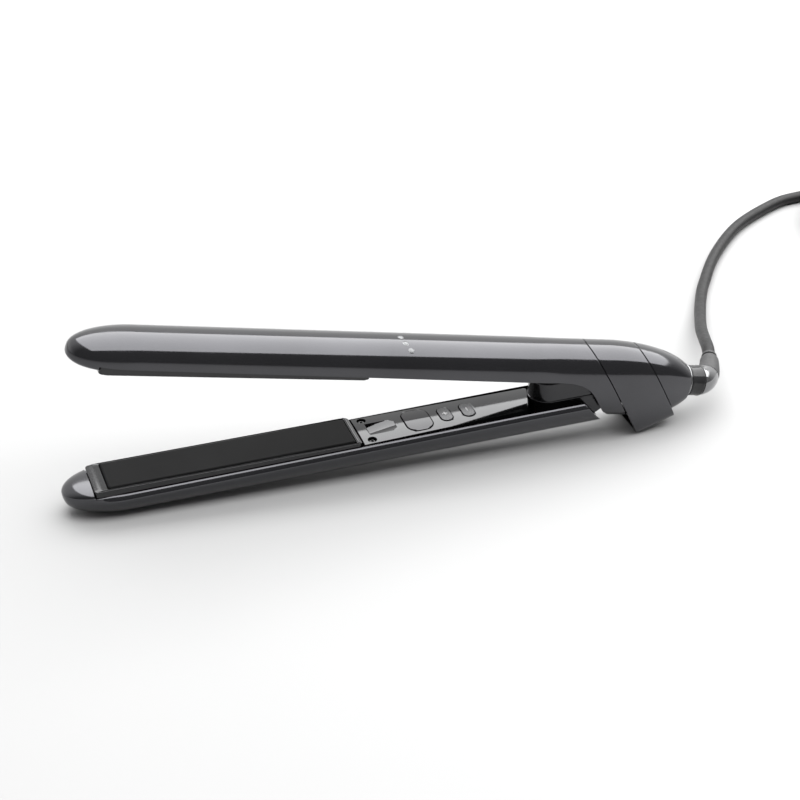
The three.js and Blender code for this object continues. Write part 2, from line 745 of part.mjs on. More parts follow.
// The lead from the elbow's mouth to the coil, on the surface once it has come down.
const leadRoute = [
  [164.3, 19.4, 17.6], [166.8, 25.8, 17.7], [170.9, 36.4, 15.5], [178.1, 53.9, 11.2], [186.9, 71.7, 7.2],
  [195.4, 88.0, 4.4], [202.9, 101.3, 3.3], [210.4, 112.9, 3.1], [227.4, 136.4, 3.1], [249.1, 159.9, 3.1],
  [267.3, 174.3, 3.1], [293.6, 188.8, 3.1], [309.0, 192.6, 3.1], [322.0, 193.4, 3.4],
];
const coilCentre = [346, 144, 0];
const coilBase = tieThickness + 0.3;

// The last stretch, from the coil's outermost upper turn to the plug that lies beside it.
const plugRoute = [
  [378.6, 191.3, 9.6], [389.0, 185.8, 8.9], [398.4, 177.6, 7.9], [405.0, 167.0, 7.0], [407.0, 158.0, 6.8],
];
const plugSleeveStart = [407, 156.9, plugThickness / 2];

function leadTube(name, route) {
  const points = route.map((place) => new THREE.Vector3(...place));
  return piece(name, sweptRod(points, leadDiameter / 2, 8, 3), leadSkin);
}

function leadCoil() {
  const half = coilHalfBand;
  const top = coilBase + (turnLayers - 1) * turnPitch + leadDiameter;
  const profile = [[-half, coilBase], [half, coilBase], [half, top], [-half, top], [-half, coilBase]]
    .map(([r, z]) => new THREE.Vector2(coilMeanRadius + r, z));
  const geometry = new THREE.LatheGeometry(profile, 24);
  geometry.rotateX(Math.PI / 2);
  geometry.translate(...coilCentre);
  return piece('lead_coil', geometry, leadSkin);
}

// A strap round the bundle of turns.
function coilTie() {
  const half = coilHalfBand + 1.3;
  const top = coilBase + turnLayers * turnPitch + 0.3;
  const outer = block([-half - tieThickness, -5, 0], [half + tieThickness, 5, top + tieThickness]);
  const band = outer.subtract(block([-half, -6, tieThickness], [half, 6, top]));
  const tie = band.translate([coilMeanRadius, 0, 0]).rotate([0, 0, 225]).translate(coilCentre);
  return piece('coil_tie', tie, darkPlastic);
}

const plugSleeveLength = 22;
const plugBodyLength = 36;
const plugPinLength = 19;
const plugPinSpacing = 18;

// The plug is modelled along +X from the lead's end of its sleeve, then laid pointing towards -Y.
function layPlug(body) {
  return body.rotate([0, 0, -90]).translate(plugSleeveStart);
}

function plugParts() {
  const sleeveRings = [[0, 3.6], [3, 3.9], [plugSleeveLength - gap, 4.8]];
  const sleeve = loft(sleeveRings.map(([x, r]) => ringSection(r, 14).getPoints().slice(0, 14)
    .map((point) => [x, point.x, point.y])));
  const outline = new THREE.Shape();
  const end = plugSleeveLength + plugBodyLength;
  outline.moveTo(plugSleeveLength, -6);
  outline.bezierCurveTo(plugSleeveLength + 10, -7, plugSleeveLength + 12, -13, end - 10, -13);
  outline.lineTo(end, -12.4);
  outline.lineTo(end, 12.4);
  outline.lineTo(end - 10, 13);
  outline.bezierCurveTo(plugSleeveLength + 12, 13, plugSleeveLength + 10, 7, plugSleeveLength, 6);
  let body = planPlate(outline, -plugThickness / 2, plugThickness / 2, 6);
  const pins = [-1, 1].map((side) => {
    const y = side * plugPinSpacing / 2;
    body = body.subtract(rod('x', 2.35, 10, [end, y, 0], 14));
    return rod('x', 2, plugPinLength + 4.5, [end + (plugPinLength - 4.5) / 2, y, 0], 14);
  });
  return [
    piece('plug_sleeve', layPlug(sleeve), leadSkin),
    piece('plug_body', layPlug(body), leadSkin),
    piece('plug_pin_left', layPlug(pins[0]), steel),
    piece('plug_pin_right', layPlug(pins[1]), steel),
  ];
}

// ---------------------------------------------------------------- assembly

const upperArm = new THREE.Group();
upperArm.rotation.y = openAngle;
upperArm.add(
  upperShell(),
  upperCover(),
  plateCarrier('upper_plate_carrier', upperRim),
  heatingPlate('upper_heating_plate'),
  ...heaterParts('upper'),
  ...innerParts('upper'),
  hingeCollar(),
  tailCap(),
  hingeYoke(),
  hingePin(),
  hingeSpring(),
  tailTrimRing(),
  swivelCollar(),
  swivelElbow(),
  ...indicatorLamps(),
  indicatorBoard(),
  innerLeads('upper_leads', 4, -58),
);

const lowerArm = new THREE.Group();
lowerArm.rotation.x = Math.PI;
lowerArm.add(
  lowerShell(),
  plateCarrier('lower_plate_carrier', lowerRim),
  heatingPlate('lower_heating_plate'),
  ...heaterParts('lower'),
  ...innerParts('lower'),
  buttonPanel(),
  ...buttons(),
  ...boardAndSwitches(),
  ...panelScrews(),
  hingeKnuckle(),
  thermalFuse(),
  innerLeads('lower_leads', 4, -58),
);

const straightener = new THREE.Group();
straightener.add(upperArm, lowerArm);
straightener.rotation.y = -lieAngle;
straightener.position.set(...pivotPlace);

const assembly = new THREE.Group();
assembly.add(
  straightener,
  leadTube('mains_lead', leadRoute),
  leadCoil(),
  coilTie(),
  leadTube('plug_lead', plugRoute),
  ...plugParts(),
);
assembly.updateMatrixWorld(true);

export default assembly;
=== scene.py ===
# A hair straightener lying open, with its swivelling lead. The CAD frame is in metres, +Z up,
# +X from the tips to the hinge. Sizes here are in millimetres unless a name says otherwise.

import json
import math

import bmesh
import bpy
from mathutils import Matrix, Vector


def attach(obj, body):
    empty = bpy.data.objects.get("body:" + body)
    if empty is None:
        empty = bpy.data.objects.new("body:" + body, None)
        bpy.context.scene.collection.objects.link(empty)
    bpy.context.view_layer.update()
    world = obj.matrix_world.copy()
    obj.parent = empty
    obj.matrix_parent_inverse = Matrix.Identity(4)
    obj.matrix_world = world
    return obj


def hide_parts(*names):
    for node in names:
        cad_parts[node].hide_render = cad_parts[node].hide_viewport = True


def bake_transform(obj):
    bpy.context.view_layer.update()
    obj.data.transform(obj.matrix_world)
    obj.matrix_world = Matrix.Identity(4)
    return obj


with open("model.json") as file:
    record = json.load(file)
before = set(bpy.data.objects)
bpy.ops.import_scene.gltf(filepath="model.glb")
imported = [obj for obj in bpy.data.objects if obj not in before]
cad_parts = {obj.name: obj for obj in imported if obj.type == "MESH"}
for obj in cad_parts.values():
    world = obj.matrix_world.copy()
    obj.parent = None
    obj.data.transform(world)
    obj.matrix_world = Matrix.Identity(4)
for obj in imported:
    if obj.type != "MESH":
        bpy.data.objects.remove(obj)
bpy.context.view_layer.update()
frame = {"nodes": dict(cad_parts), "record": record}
nodes = frame["nodes"]

MM = 0.001
OPEN_ANGLE = math.radians(12.45)
LIE_ANGLE = math.radians(2.05)
PIVOT = Vector((117.9, 0, 24.91))

# Each arm is drawn lying back up, with its mating plane at z = 0 and the hinge pin along Y.
WORLD = Matrix.Identity(4)
UPPER = Matrix.Translation(PIVOT) @ Matrix.Rotation(OPEN_ANGLE - LIE_ANGLE, 4, "Y")
LOWER = Matrix.Translation(PIVOT) @ Matrix.Rotation(-LIE_ANGLE, 4, "Y") @ Matrix.Rotation(math.pi, 4, "X")

ARM_HALF_WIDTH = 13.6
ARM_DEPTH = 16.4
WALL = 1.9
TIP_X = -268.6
NOSE_END = -256.6
NOSE_CURVE_END = -240
NOSE_MIDDLE = 5.6
SEAM_SLOPE = 1.25
SEAM_FRONT = -19.2
SEAM_REAR = 6.6
LOWER_SHELL_SEAM = -33.8
GAP = 0.35
TAIL_END_X = 23.2
TAIL_CENTRE_Z = -1.9
COLLAR_END_X = TAIL_END_X + 8.6

PLATE_LENGTH = 110
PLATE_WIDTH = 20
PLATE_THICKNESS = 2.2
PLATE_FACE = 0.25
PLATE_ROLL = 0.9
PLATE_MIDDLE = -250.2 + PLATE_LENGTH / 2


def between(value, x0, y0, x1, y1):
    t = min(max((value - x0) / (x1 - x0), 0), 1)
    return y0 + (y1 - y0) * t


def eased(value, x0, y0, x1, y1):
    t = min(max((value - x0) / (x1 - x0), 0), 1)
    return y0 + (y1 - y0) * t * t * (3 - 2 * t)


def spaced(start, end, count, ease=lambda t: t):
    return [start + (end - start) * ease(i / count) for i in range(count + 1)]


def rounded_off(value, start, end):
    """A factor that falls from 1 to 0 along a quarter round."""
    t = between(value, start, 0, end, 1)
    return math.sqrt(1 - t * t)


def rolled(radius, steps=5):
    """A rounded edge as pairs of (inset, depth), from a wall to the face that it turns on to."""
    return [(radius * (1 - math.cos(a)), radius * (1 - math.sin(a))) for a in spaced(0, math.pi / 2, steps)]


def full_turn(count):
    return [2 * math.pi * i / count for i in range(count)]


def round_ring(centre, side, other, radius, sides):
    return [centre + (side * math.cos(a) + other * math.sin(a)) * radius for a in full_turn(sides)]


# ---- camera

# In metres. The axes are the directions from the aim to the camera and to the picture's right.
CAMERA_PLACE = Vector((-0.2607, -0.7082, 0.4889))
CAMERA_BACK = Vector((-0.2964, -0.8021, 0.5184))
CAMERA_RIGHT = Vector((0.9444, -0.3271, 0.0338))

camera_data = bpy.data.cameras.new("camera")
camera_data.lens = 90
camera_data.sensor_width = 36
camera_data.clip_start = 0.05
camera = bpy.data.objects.new("camera", camera_data)
bpy.context.scene.collection.objects.link(camera)
back = CAMERA_BACK.normalized()
right = (CAMERA_RIGHT - back * CAMERA_RIGHT.dot(back)).normalized()
camera_axes = Matrix((right, back.cross(right), back)).transposed()
camera.matrix_world = Matrix.Translation(CAMERA_PLACE) @ camera_axes.to_4x4()
bpy.context.scene.camera = camera


# ---- materials

def node_tree(name):
    material = bpy.data.materials.new(name)
    material.use_nodes = True
    return material, material.node_tree, material.node_tree.nodes["Principled BSDF"]


def set_inputs(node, values):
    for name, value in values.items():
        node.inputs[name].default_value = value


def noise(tree, scale, detail=4):
    coordinates = tree.nodes.new("ShaderNodeTexCoord")
    texture = tree.nodes.new("ShaderNodeTexNoise")
    set_inputs(texture, {"Scale": scale, "Detail": detail, "Roughness": 0.55})
    tree.links.new(coordinates.outputs["Object"], texture.inputs["Vector"])
    return texture.outputs["Fac"]


def ranged(tree, value, low, high, from_low=0.3, from_high=0.7):
    node = tree.nodes.new("ShaderNodeMapRange")
    set_inputs(node, {"From Min": from_low, "From Max": from_high, "To Min": low, "To Max": high})
    tree.links.new(value, node.inputs["Value"])
    return node.outputs["Result"]


def mixed_colour(tree, factor, dark, light):
    ramp = tree.nodes.new("ShaderNodeMix")
    ramp.data_type = "RGBA"
    ramp.inputs[6].default_value = (*dark, 1)
    ramp.inputs[7].default_value = (*light, 1)
    tree.links.new(factor, ramp.inputs[0])
    return ramp.outputs[2]


def bump(tree, shader, height, strength, distance):
    node = tree.nodes.new("ShaderNodeBump")
    set_inputs(node, {"Strength": strength, "Distance": distance})
    tree.links.new(height, node.inputs["Height"])
    tree.links.new(node.outputs["Normal"], shader.inputs["Normal"])


def surface(name, dark, light, metallic, rough, coat=0.0, coat_rough=0.05, mottle=40, grain=None,
            specular=0.5):
    """A moulded or lacquered surface: slow colour drift, uneven polish and an optional fine grain."""
    material, tree, shader = node_tree(name)
    set_inputs(shader, {"Metallic": metallic, "Coat Weight": coat, "Coat Roughness": coat_rough,
                        "Specular IOR Level": specular})
    drift = noise(tree, mottle)
    tree.links.new(mixed_colour(tree, ranged(tree, drift, 0, 1), dark, light), shader.inputs["Base Color"])
    polish = noise(tree, mottle * 3, 6)
    tree.links.new(ranged(tree, polish, *rough), shader.inputs["Roughness"])
    if grain:
        scale, strength, distance = grain
        bump(tree, shader, noise(tree, scale, 3), strength, distance)
    return material


LACQUER = surface("gunmetal_lacquer", (0.053, 0.053, 0.057), (0.062, 0.062, 0.067), 0.9, (0.10, 0.15),
                  coat=0.4, coat_rough=0.03, mottle=25, grain=(5200, 0.03, 0.0001))
SILVER = surface("grey_lacquer", (0.042, 0.0425, 0.0435), (0.050, 0.0505, 0.0515), 0.9, (0.04, 0.07),
                 coat=0.3, coat_rough=0.04, mottle=30, grain=(5200, 0.03, 0.0001))
BLACK_GLOSS = surface("gloss_black_plastic", (0.016, 0.016, 0.017), (0.022, 0.022, 0.023), 0.0, (0.07, 0.12),
                      mottle=60, grain=(900, 0.02, 0.0001), specular=0.35)
BLACK_SATIN = surface("satin_black_plastic", (0.018, 0.018, 0.0185), (0.026, 0.026, 0.0265), 0.0, (0.36, 0.5),
                      mottle=90, grain=(2600, 0.25, 0.0002))
PLATE_COAT = surface("ceramic_plate_coat", (0.006, 0.006, 0.0061), (0.008, 0.008, 0.0082), 0.0, (0.30, 0.36),
                     mottle=30, grain=(6000, 0.03, 0.00005), specular=0.03)
STEEL = surface("bright_steel", (0.52, 0.525, 0.53), (0.62, 0.625, 0.63), 1.0, (0.16, 0.28),
                mottle=120, grain=(2400, 0.05, 0.0001))
CERAMIC = surface("heater_ceramic", (0.72, 0.70, 0.66), (0.8, 0.78, 0.74), 0.0, (0.45, 0.6), mottle=150,
                  grain=(1500, 0.2, 0.0002))
SILICONE = surface("silicone", (0.42, 0.10, 0.045), (0.50, 0.13, 0.06), 0.0, (0.5, 0.65), mottle=150,
                   grain=(1500, 0.2, 0.0002))
BOARD = surface("circuit_board", (0.012, 0.075, 0.032), (0.018, 0.10, 0.045), 0.0, (0.3, 0.42), mottle=300,
                grain=(700, 0.4, 0.0002))
LENS = surface("lamp_lens", (0.12, 0.125, 0.13), (0.16, 0.165, 0.17), 0.0, (0.08, 0.14), coat=0.5, mottle=400,
               grain=(1500, 0.05, 0.0001))
CORD_SKIN = surface("lead_skin", (0.008, 0.008, 0.0083), (0.014, 0.014, 0.0143), 0.0, (0.42, 0.56),
                    mottle=160, grain=(1900, 0.3, 0.00025), specular=0.3)
ELBOW_MATTE = surface("speckled_grey_plastic", (0.018, 0.018, 0.0185), (0.052, 0.052, 0.053), 0.0,
                      (0.5, 0.62), mottle=1400, grain=(2600, 0.3, 0.0002))
BUTTON_GREY = surface("grey_button_plastic", (0.055, 0.0555, 0.057), (0.066, 0.0665, 0.068), 0.8, (0.2, 0.27),
                      mottle=80, grain=(2600, 0.08, 0.0002))
POWER_GREY = surface("power_button_lacquer", (0.030, 0.030, 0.0315), (0.036, 0.036, 0.0375), 0.9,
                     (0.03, 0.05), coat=0.3, coat_rough=0.03, mottle=60, grain=(5200, 0.02, 0.0001))
SCREW_STEEL = surface("blackened_steel", (0.045, 0.045, 0.046), (0.065, 0.065, 0.066), 1.0,
                      (0.25, 0.35), mottle=400, grain=(2600, 0.08, 0.0001))
KNUCKLE_GREY = surface("knuckle_lacquer", (0.028, 0.028, 0.030), (0.036, 0.036, 0.038), 0.8, (0.14, 0.20),
                       coat=0.3, coat_rough=0.06, mottle=40, grain=(3200, 0.05, 0.0001))
CARRIER_GREY = surface("carrier_lacquer", (0.030, 0.030, 0.031), (0.037, 0.037, 0.038), 0.85, (0.08, 0.12),
                       coat=0.25, coat_rough=0.04, mottle=30, grain=(5200, 0.03, 0.0001))
TRIM_STEEL = surface("brushed_trim", (0.22, 0.222, 0.225), (0.27, 0.272, 0.275), 1.0, (0.2, 0.28), mottle=200,
                     grain=(2600, 0.05, 0.0001))
ELBOW_GLOSS = surface("elbow_lacquer", (0.20, 0.201, 0.205), (0.23, 0.231, 0.235), 0.85, (0.10, 0.15),
                      coat=0.5, coat_rough=0.03, mottle=90, grain=(5200, 0.02, 0.0001))
MARK_WHITE = surface("printed_mark", (0.62, 0.62, 0.62), (0.70, 0.70, 0.70), 0.0, (0.4, 0.5), mottle=500,
                     grain=(2600, 0.05, 0.0001))
WIRE = surface("inner_wire", (0.24, 0.02, 0.015), (0.30, 0.03, 0.02), 0.0, (0.35, 0.5), mottle=200,
               grain=(1500, 0.1, 0.0002))

SLOTS = {
    "gunmetal": LACQUER, "inner_grey": SILVER, "dark_plastic": BLACK_SATIN, "gloss_black": BLACK_GLOSS,
    "plate_coat": PLATE_COAT, "steel": STEEL, "heater_ceramic": CERAMIC, "silicone": SILICONE,
    "circuit_board": BOARD, "lamp_lens": LENS, "lead_skin": CORD_SKIN, "inner_wire": WIRE,
}
for row in frame["record"]["subparts"]:
    cad_object = nodes[row["node"]]
    cad_object.data.materials.clear()
    cad_object.data.materials.append(SLOTS[row["material_slot"]])


# ---- mesh building

def raw_object(name, verts, faces, place=WORLD):
    """A closed mesh drawn in millimetres in an arm's own frame and carried to the row frame."""
    mesh = bpy.data.meshes.new(name)
    mesh.from_pydata([tuple((place @ Vector(v)) * MM) for v in verts], [], faces)
    work = bmesh.new()
    work.from_mesh(mesh)
    bmesh.ops.remove_doubles(work, verts=work.verts, dist=1e-7)
    bmesh.ops.recalc_face_normals(work, faces=work.faces)
    work.to_mesh(mesh)
    work.free()
    thing = bpy.data.objects.new(name, mesh)
    bpy.context.scene.collection.objects.link(thing)
    return thing


def applied(thing):
    """Turns a piece's modifiers into its mesh."""
    graph = bpy.context.evaluated_depsgraph_get()
    mesh = bpy.data.meshes.new_from_object(thing.evaluated_get(graph))
    thing.modifiers.clear()
    thing.data = mesh


def build(name, skin, body, slot, place=WORLD, stands_for=(), sharp=32, bevel=0.0, segments=3,
          material=None, weighted=False, cutters=()):
    """A piece from a skin of vertices and faces: cut, bevelled, smoothly shaded and set on a body."""
    thing = raw_object(name, *skin, place)
    for cutter in cutters:
        modifier = thing.modifiers.new("cut", "BOOLEAN")
        modifier.object = cutter
        modifier.solver = "EXACT"
    if bevel:
        modifier = thing.modifiers.new("edge_rounding", "BEVEL")
        modifier.width = bevel * MM
        modifier.segments = segments
        modifier.limit_method = "ANGLE"
        modifier.angle_limit = math.radians(sharp)
    if cutters or bevel:
        applied(thing)
    for cutter in cutters:
        bpy.data.objects.remove(cutter)
    mesh = thing.data
    mesh.materials.clear()
    mesh.materials.append(material or SLOTS[slot])
    mesh.shade_smooth()
    mesh.set_sharp_from_angle(angle=math.radians(sharp))
    if weighted:
        modifier = thing.modifiers.new("face_weighted_normals", "WEIGHTED_NORMAL")
        modifier.keep_sharp = True
    if body:
        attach(thing, body)
    if stands_for:
        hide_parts(*stands_for)
    return thing


def loft(rings, cap_start=True, cap_end=True, around=False):
    """Vertices and faces of a skin through closed rings; around joins the last ring to the first."""
    count = len(rings[0])
    verts = [tuple(p) for ring in rings for p in ring]
    faces = []
    for i in range(len(rings) if around else len(rings) - 1):
        ahead = (i + 1) % len(rings)
        for j in range(count):
            k = (j + 1) % count
            faces.append((i * count + j, i * count + k, ahead * count + k, ahead * count + j))
    if cap_start and not around:
        faces.append(tuple(range(count - 1, -1, -1)))
    if cap_end and not around:
        base = (len(rings) - 1) * count
        faces.append(tuple(range(base, base + count)))
    return verts, faces


def lathe(profile, centre, axis, sides=72):
    """Rings of a profile of (distance along the axis, radius), turned round the axis from a centre."""
    axis = Vector(axis).normalized()
    side = axis.orthogonal().normalized()
    other = axis.cross(side)
    return [round_ring(Vector(centre) + axis * along, side, other, radius, sides)
            for along, radius in profile]


def rounded_outline(half_x, half_y, radius, steps=6, centre=(0, 0)):
    points = []
    for k, (sx, sy) in enumerate(((1, 1), (-1, 1), (-1, -1), (1, -1))):
        for i in range(steps + 1):
            angle = math.pi / 2 * (k + i / steps)
            points.append((centre[0] + sx * (half_x - radius) + radius * math.cos(angle),
                           centre[1] + sy * (half_y - radius) + radius * math.sin(angle)))
    return points


def smooth_line(points, per_span):
    """Points of a Catmull-Rom curve through the given ones."""
    line = []
    padded = [points[0] * 2 - points[1], *points, points[-1] * 2 - points[-2]]
    for i in range(1, len(padded) - 2):
        p0, p1, p2, p3 = padded[i - 1:i + 3]
        for k in range(per_span):
            t = k / per_span
            line.append(0.5 * (2 * p1 + (p2 - p0) * t + (2 * p0 - 5 * p1 + 4 * p2 - p3) * t * t
                               + (3 * p1 - p0 - 3 * p2 + p3) * t ** 3))
    line.append(points[-1].copy())
    return line


def tube_rings(line, radius, sides=16):
    """Rings round a line, kept from twisting by carrying one frame along it."""
    rings = []
    tangents = []
    for i in range(len(line)):
        ahead = line[min(i + 1, len(line) - 1)] - line[max(i - 1, 0)]
        tangents.append(ahead.normalized())
    side = tangents[0].orthogonal().normalized()
    for i, centre in enumerate(line):
        side = (side - tangents[i] * side.dot(tangents[i])).normalized()
        rings.append(round_ring(centre, side, tangents[i].cross(side), radius, sides))
    return rings


# ---- mains lead, coil and plug

LEAD_DIAMETER = 6
LEAD_ROUTE = [
    (164.3, 19.4, 17.6), (166.8, 25.8, 17.7), (170.9, 36.4, 15.5), (178.1, 53.9, 11.2), (186.9, 71.7, 7.2),
    (195.4, 88.0, 4.4), (202.9, 101.3, 3.3), (210.4, 112.9, 3.1), (227.4, 136.4, 3.1), (249.1, 159.9, 3.1),
    (267.3, 174.3, 3.1), (293.6, 188.8, 3.1), (309.0, 192.6, 3.1), (322.0, 193.4, 3.4),
]
COIL_CENTRE = Vector((346, 144, 0))
COIL_PITCH = 6.05
COIL_TURNS = 8
COIL_INNER_RADIUS = 24.2
COIL_LAYERS = (4.2, 10.3)
COIL_MEAN_RADIUS = COIL_INNER_RADIUS + COIL_TURNS / 4 * COIL_PITCH
COIL_START = Vector((0, COIL_INNER_RADIUS + COIL_TURNS / 2 * COIL_PITCH, 0))
PLUG_ROUTE = [(378.6, 191.3, 9.6), (389.0, 185.8, 8.9), (398.4, 177.6, 7.9), (405.0, 167.0, 7.0),
              (407.0, 158.0, 6.8), (407.0, 155.0, 6.8)]
STEPS_PER_TURN = 36
CLIMB_TURNS = 0.3


def coil_line():
    """A flat spiral that winds inwards, climbs one layer, and winds outwards again on top of itself."""
    points = []
    middle = COIL_TURNS / 2
    soft = 0.15
    for i in range(COIL_TURNS * STEPS_PER_TURN):
        turned = i / STEPS_PER_TURN
        away = math.hypot(turned - middle, soft) - soft * (1 - abs(turned - middle) / middle)
        r = COIL_INNER_RADIUS + 0.4 + (COIL_PITCH - 0.1) * away
        z = eased(turned, middle - CLIMB_TURNS, COIL_LAYERS[0], middle + CLIMB_TURNS, COIL_LAYERS[1])
        angle = math.pi / 2 - turned * 2 * math.pi
        points.append(COIL_CENTRE + Vector((r * math.cos(angle), r * math.sin(angle), z)))
    return points


def mains_lead():
    """One tube from inside the elbow, over the surface, round the coil and into the plug's sleeve."""
    entry = [Vector(p) for p in LEAD_ROUTE]
    start = entry[0] - (entry[1] - entry[0]).normalized() * 2.5
    before = COIL_CENTRE + COIL_START + Vector((-8, -0.3, COIL_LAYERS[0] - 0.2))
    approach = smooth_line([start, *entry, before], 6)
    coil = coil_line()
    leaving = smooth_line([COIL_CENTRE + COIL_START + Vector((0, 0, COIL_LAYERS[1])),
                           *[Vector(p) for p in PLUG_ROUTE]], 6)
    line = approach + coil + leaving
    lead = build("mains_lead_tube", loft(tube_rings(line, LEAD_DIAMETER / 2)), None, "lead_skin",
                 stands_for=("mains_lead", "lead_coil", "plug_lead"), sharp=60)
    exit_point = start * MM
    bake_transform(lead)
    return lead, line, exit_point


lead, lead_line, lead_exit = mains_lead()


# ---- sections of the arms and the tail

# The backs of the arms and the tail are superellipses: a half width, a height and a power.
BACK_POWER = 2.3
BELLY_POWER = 2.4
CHEEK_POWER = 3
COLLAR_POWER = 5.5
NOSE_TOP = 7.4
NOSE_BOTTOM = 1.1
CHEEK_START = -62
RIM_START = -245
RIM_END = -60
KNUCKLE_SLOT_HALF = 9.2
TAIL_TURN_X = -20
TAIL_TOP_END = 28.5
TAIL_WIDTH_END = 36.5
CAP_START_X = 6
CAP_BELLY_END = 26.1
CAP_BELLY_DEPTH = 15.6
CHEEK_LEVEL_X = -46
CHEEK_BOTTOM = -17.8
COLLAR_BELLY = (1.6, 26, 20, 16.9)
SNUB_LENGTH = 1.5
SKIN_STEPS = 26
QUARTER_STEPS = 24
CHEEK_STEPS = 40
ROUNDING = 0.35
SHOULDER_HEIGHT = 2.0
SHOULDER_RUN = 9
SHOULDER_POWER = 1.25
LOWER_SHOULDER = 1.75
# How far back and how far in each ring of a rounded end is drawn.
EDGE_STEPS = [(ROUNDING * back, ROUNDING * inset)
              for back, inset in ((1.0, 0.0), (0.45, 0.06), (0.06, 0.45), (0.0, 1.0))]


def nose_rise(x, power=2.0):
    t = between(x, TIP_X, 0, NOSE_CURVE_END, 1)
    return (1 - (1 - t) ** power) ** (1 / power)


def upper_rim(x):
    return between(x, RIM_START, 4.6, RIM_END, 2.3)


def lower_rim(x):
    return between(x, RIM_START, 3.8, RIM_END, 1.9)


def tail_top(x):
    return TAIL_CENTRE_Z + (ARM_DEPTH - TAIL_CENTRE_Z) * rounded_off(x, TAIL_TURN_X, TAIL_TOP_END)


def tail_width(x):
    return ARM_HALF_WIDTH * rounded_off(x, TAIL_TURN_X, TAIL_WIDTH_END)


def tail_middle(x):
    return between(x, CAP_START_X, 0, TAIL_END_X, TAIL_CENTRE_Z)


def arm_section(rim):
    """Half width, top, widest line, bottom and belly power of an arm at a place along it."""
    def section(x):
        snub = math.sqrt(min((x - TIP_X) / SNUB_LENGTH, 1))
        top = NOSE_MIDDLE + (NOSE_TOP - NOSE_MIDDLE) * snub + (ARM_DEPTH - NOSE_TOP) * nose_rise(x)
        t = between(x, TIP_X, 0, NOSE_END, 1)
        middle = NOSE_MIDDLE + (rim(x) - NOSE_MIDDLE) * t
        bottom = middle - (middle - NOSE_BOTTOM) * math.sqrt(1 - (1 - t) ** 2)
        return ARM_HALF_WIDTH * nose_rise(x, 2.2), top, middle, bottom, BELLY_POWER
    return section


def cheek_section(x):
    middle = eased(x, CHEEK_START, upper_rim(CHEEK_START), CHEEK_LEVEL_X, 0)
    return tail_width(x), tail_top(x), middle, CHEEK_BOTTOM, CHEEK_POWER


def collar_section(x):
    return tail_width(x), tail_top(x), tail_middle(x), -between(x, *COLLAR_BELLY), COLLAR_POWER


def cap_section(x):
    bottom = TAIL_CENTRE_Z - CAP_BELLY_DEPTH * rounded_off(x, CAP_START_X, CAP_BELLY_END)
    return tail_width(x), tail_top(x), tail_middle(x), bottom, CHEEK_POWER


def section_point(section, u, inset=0.0):
    """(y, z) on a section's +Y side; u runs from -1 under the belly, through the widest line, to 1 on top."""
    width, top, middle, bottom, belly = section
    power = BACK_POWER if u >= 0 else belly
    angle = abs(u) * math.pi / 2
    reach = top - inset - middle if u >= 0 else bottom + inset - middle
    y = max(width - inset, 0.02) * max(math.cos(angle), 0) ** (2 / power)
    return y, middle + reach * math.sin(angle) ** (2 / power)


def on_station(x_of, section_at, u, inset=0.0):
    """The point of the skin with parameter u on the station x = x_of(z)."""
    x = x_of(0)
    for _ in range(6):
        y, z = section_point(section_at(x), u, inset)
        x = x_of(z)
    return Vector((x, y, z))


def edge_parameter(section, z):
    """The u of section_point at a height."""
    _, top, middle, bottom, belly = section
    if z >= middle:
        return math.asin(((z - middle) / (top - middle)) ** (BACK_POWER / 2)) / (math.pi / 2)
    return -math.asin(((middle - z) / (middle - bottom)) ** (belly / 2)) / (math.pi / 2)


def mirrored(points):
    return [Vector((p.x, -p.y, p.z)) for p in points]


def shouldered(points, reach):
    """Draws an edge in towards the middle, so that the shell turns over it."""
    for p in points:
        height = between(p.z, points[0].z, 0, points[0].z + SHOULDER_HEIGHT, 1)
        p.y -= reach * (1 - height) ** SHOULDER_POWER
    return points


def shell_ring(x_of, section_at, edge_u=0.0, inset=0.0, hollow=WALL, slot=0.0, shoulder=0.0):
    """A ring of an open-sided shell: over the back from edge to edge, and back along the inside.

    Without a hollow it closes under the belly, with its edge points lying on each other.
    """
    def side(from_u, to_u, depth):
        return [on_station(x_of, section_at, from_u + (to_u - from_u) * (i / SKIN_STEPS) ** 1.3, depth)
                for i in range(SKIN_STEPS + 1)]
    outer = shouldered(side(edge_u, 1, inset), shoulder)
    if hollow is None:
        inner = side(0, -1, inset)
    else:
        inner = shouldered(side(edge_u, 1, hollow - inset * 0.5), 0.1 * shoulder)
        for p in inner:
            if slot and p.z < 0:
                p.y = max(p.y, slot)
        up = (outer[1] - outer[0]).normalized()
        across = (inner[0] - outer[0]).normalized()
        corner = outer[0].copy()
        inner_corner = inner[0].copy()
        outer[0] = corner + up * 0.4
        inner[0] = inner_corner + up * 0.3
        rounding = min(0.4, 0.3 * (inner_corner - corner).length)
        middle = [corner + up * 0.1 + across * 0.1, corner + across * rounding,
                  inner_corner - across * 0.75 * rounding]
        return ([*reversed(middle)] + outer + mirrored(reversed(outer[:-1])) + mirrored(middle)
                + mirrored(inner) + list(reversed(inner[:-1])))
    first = [outer[0].copy() for _ in range(3)]
    return first + outer + mirrored(reversed(outer[:-1])) + mirrored(first) + mirrored(inner) + list(
        reversed(inner[:-1]))


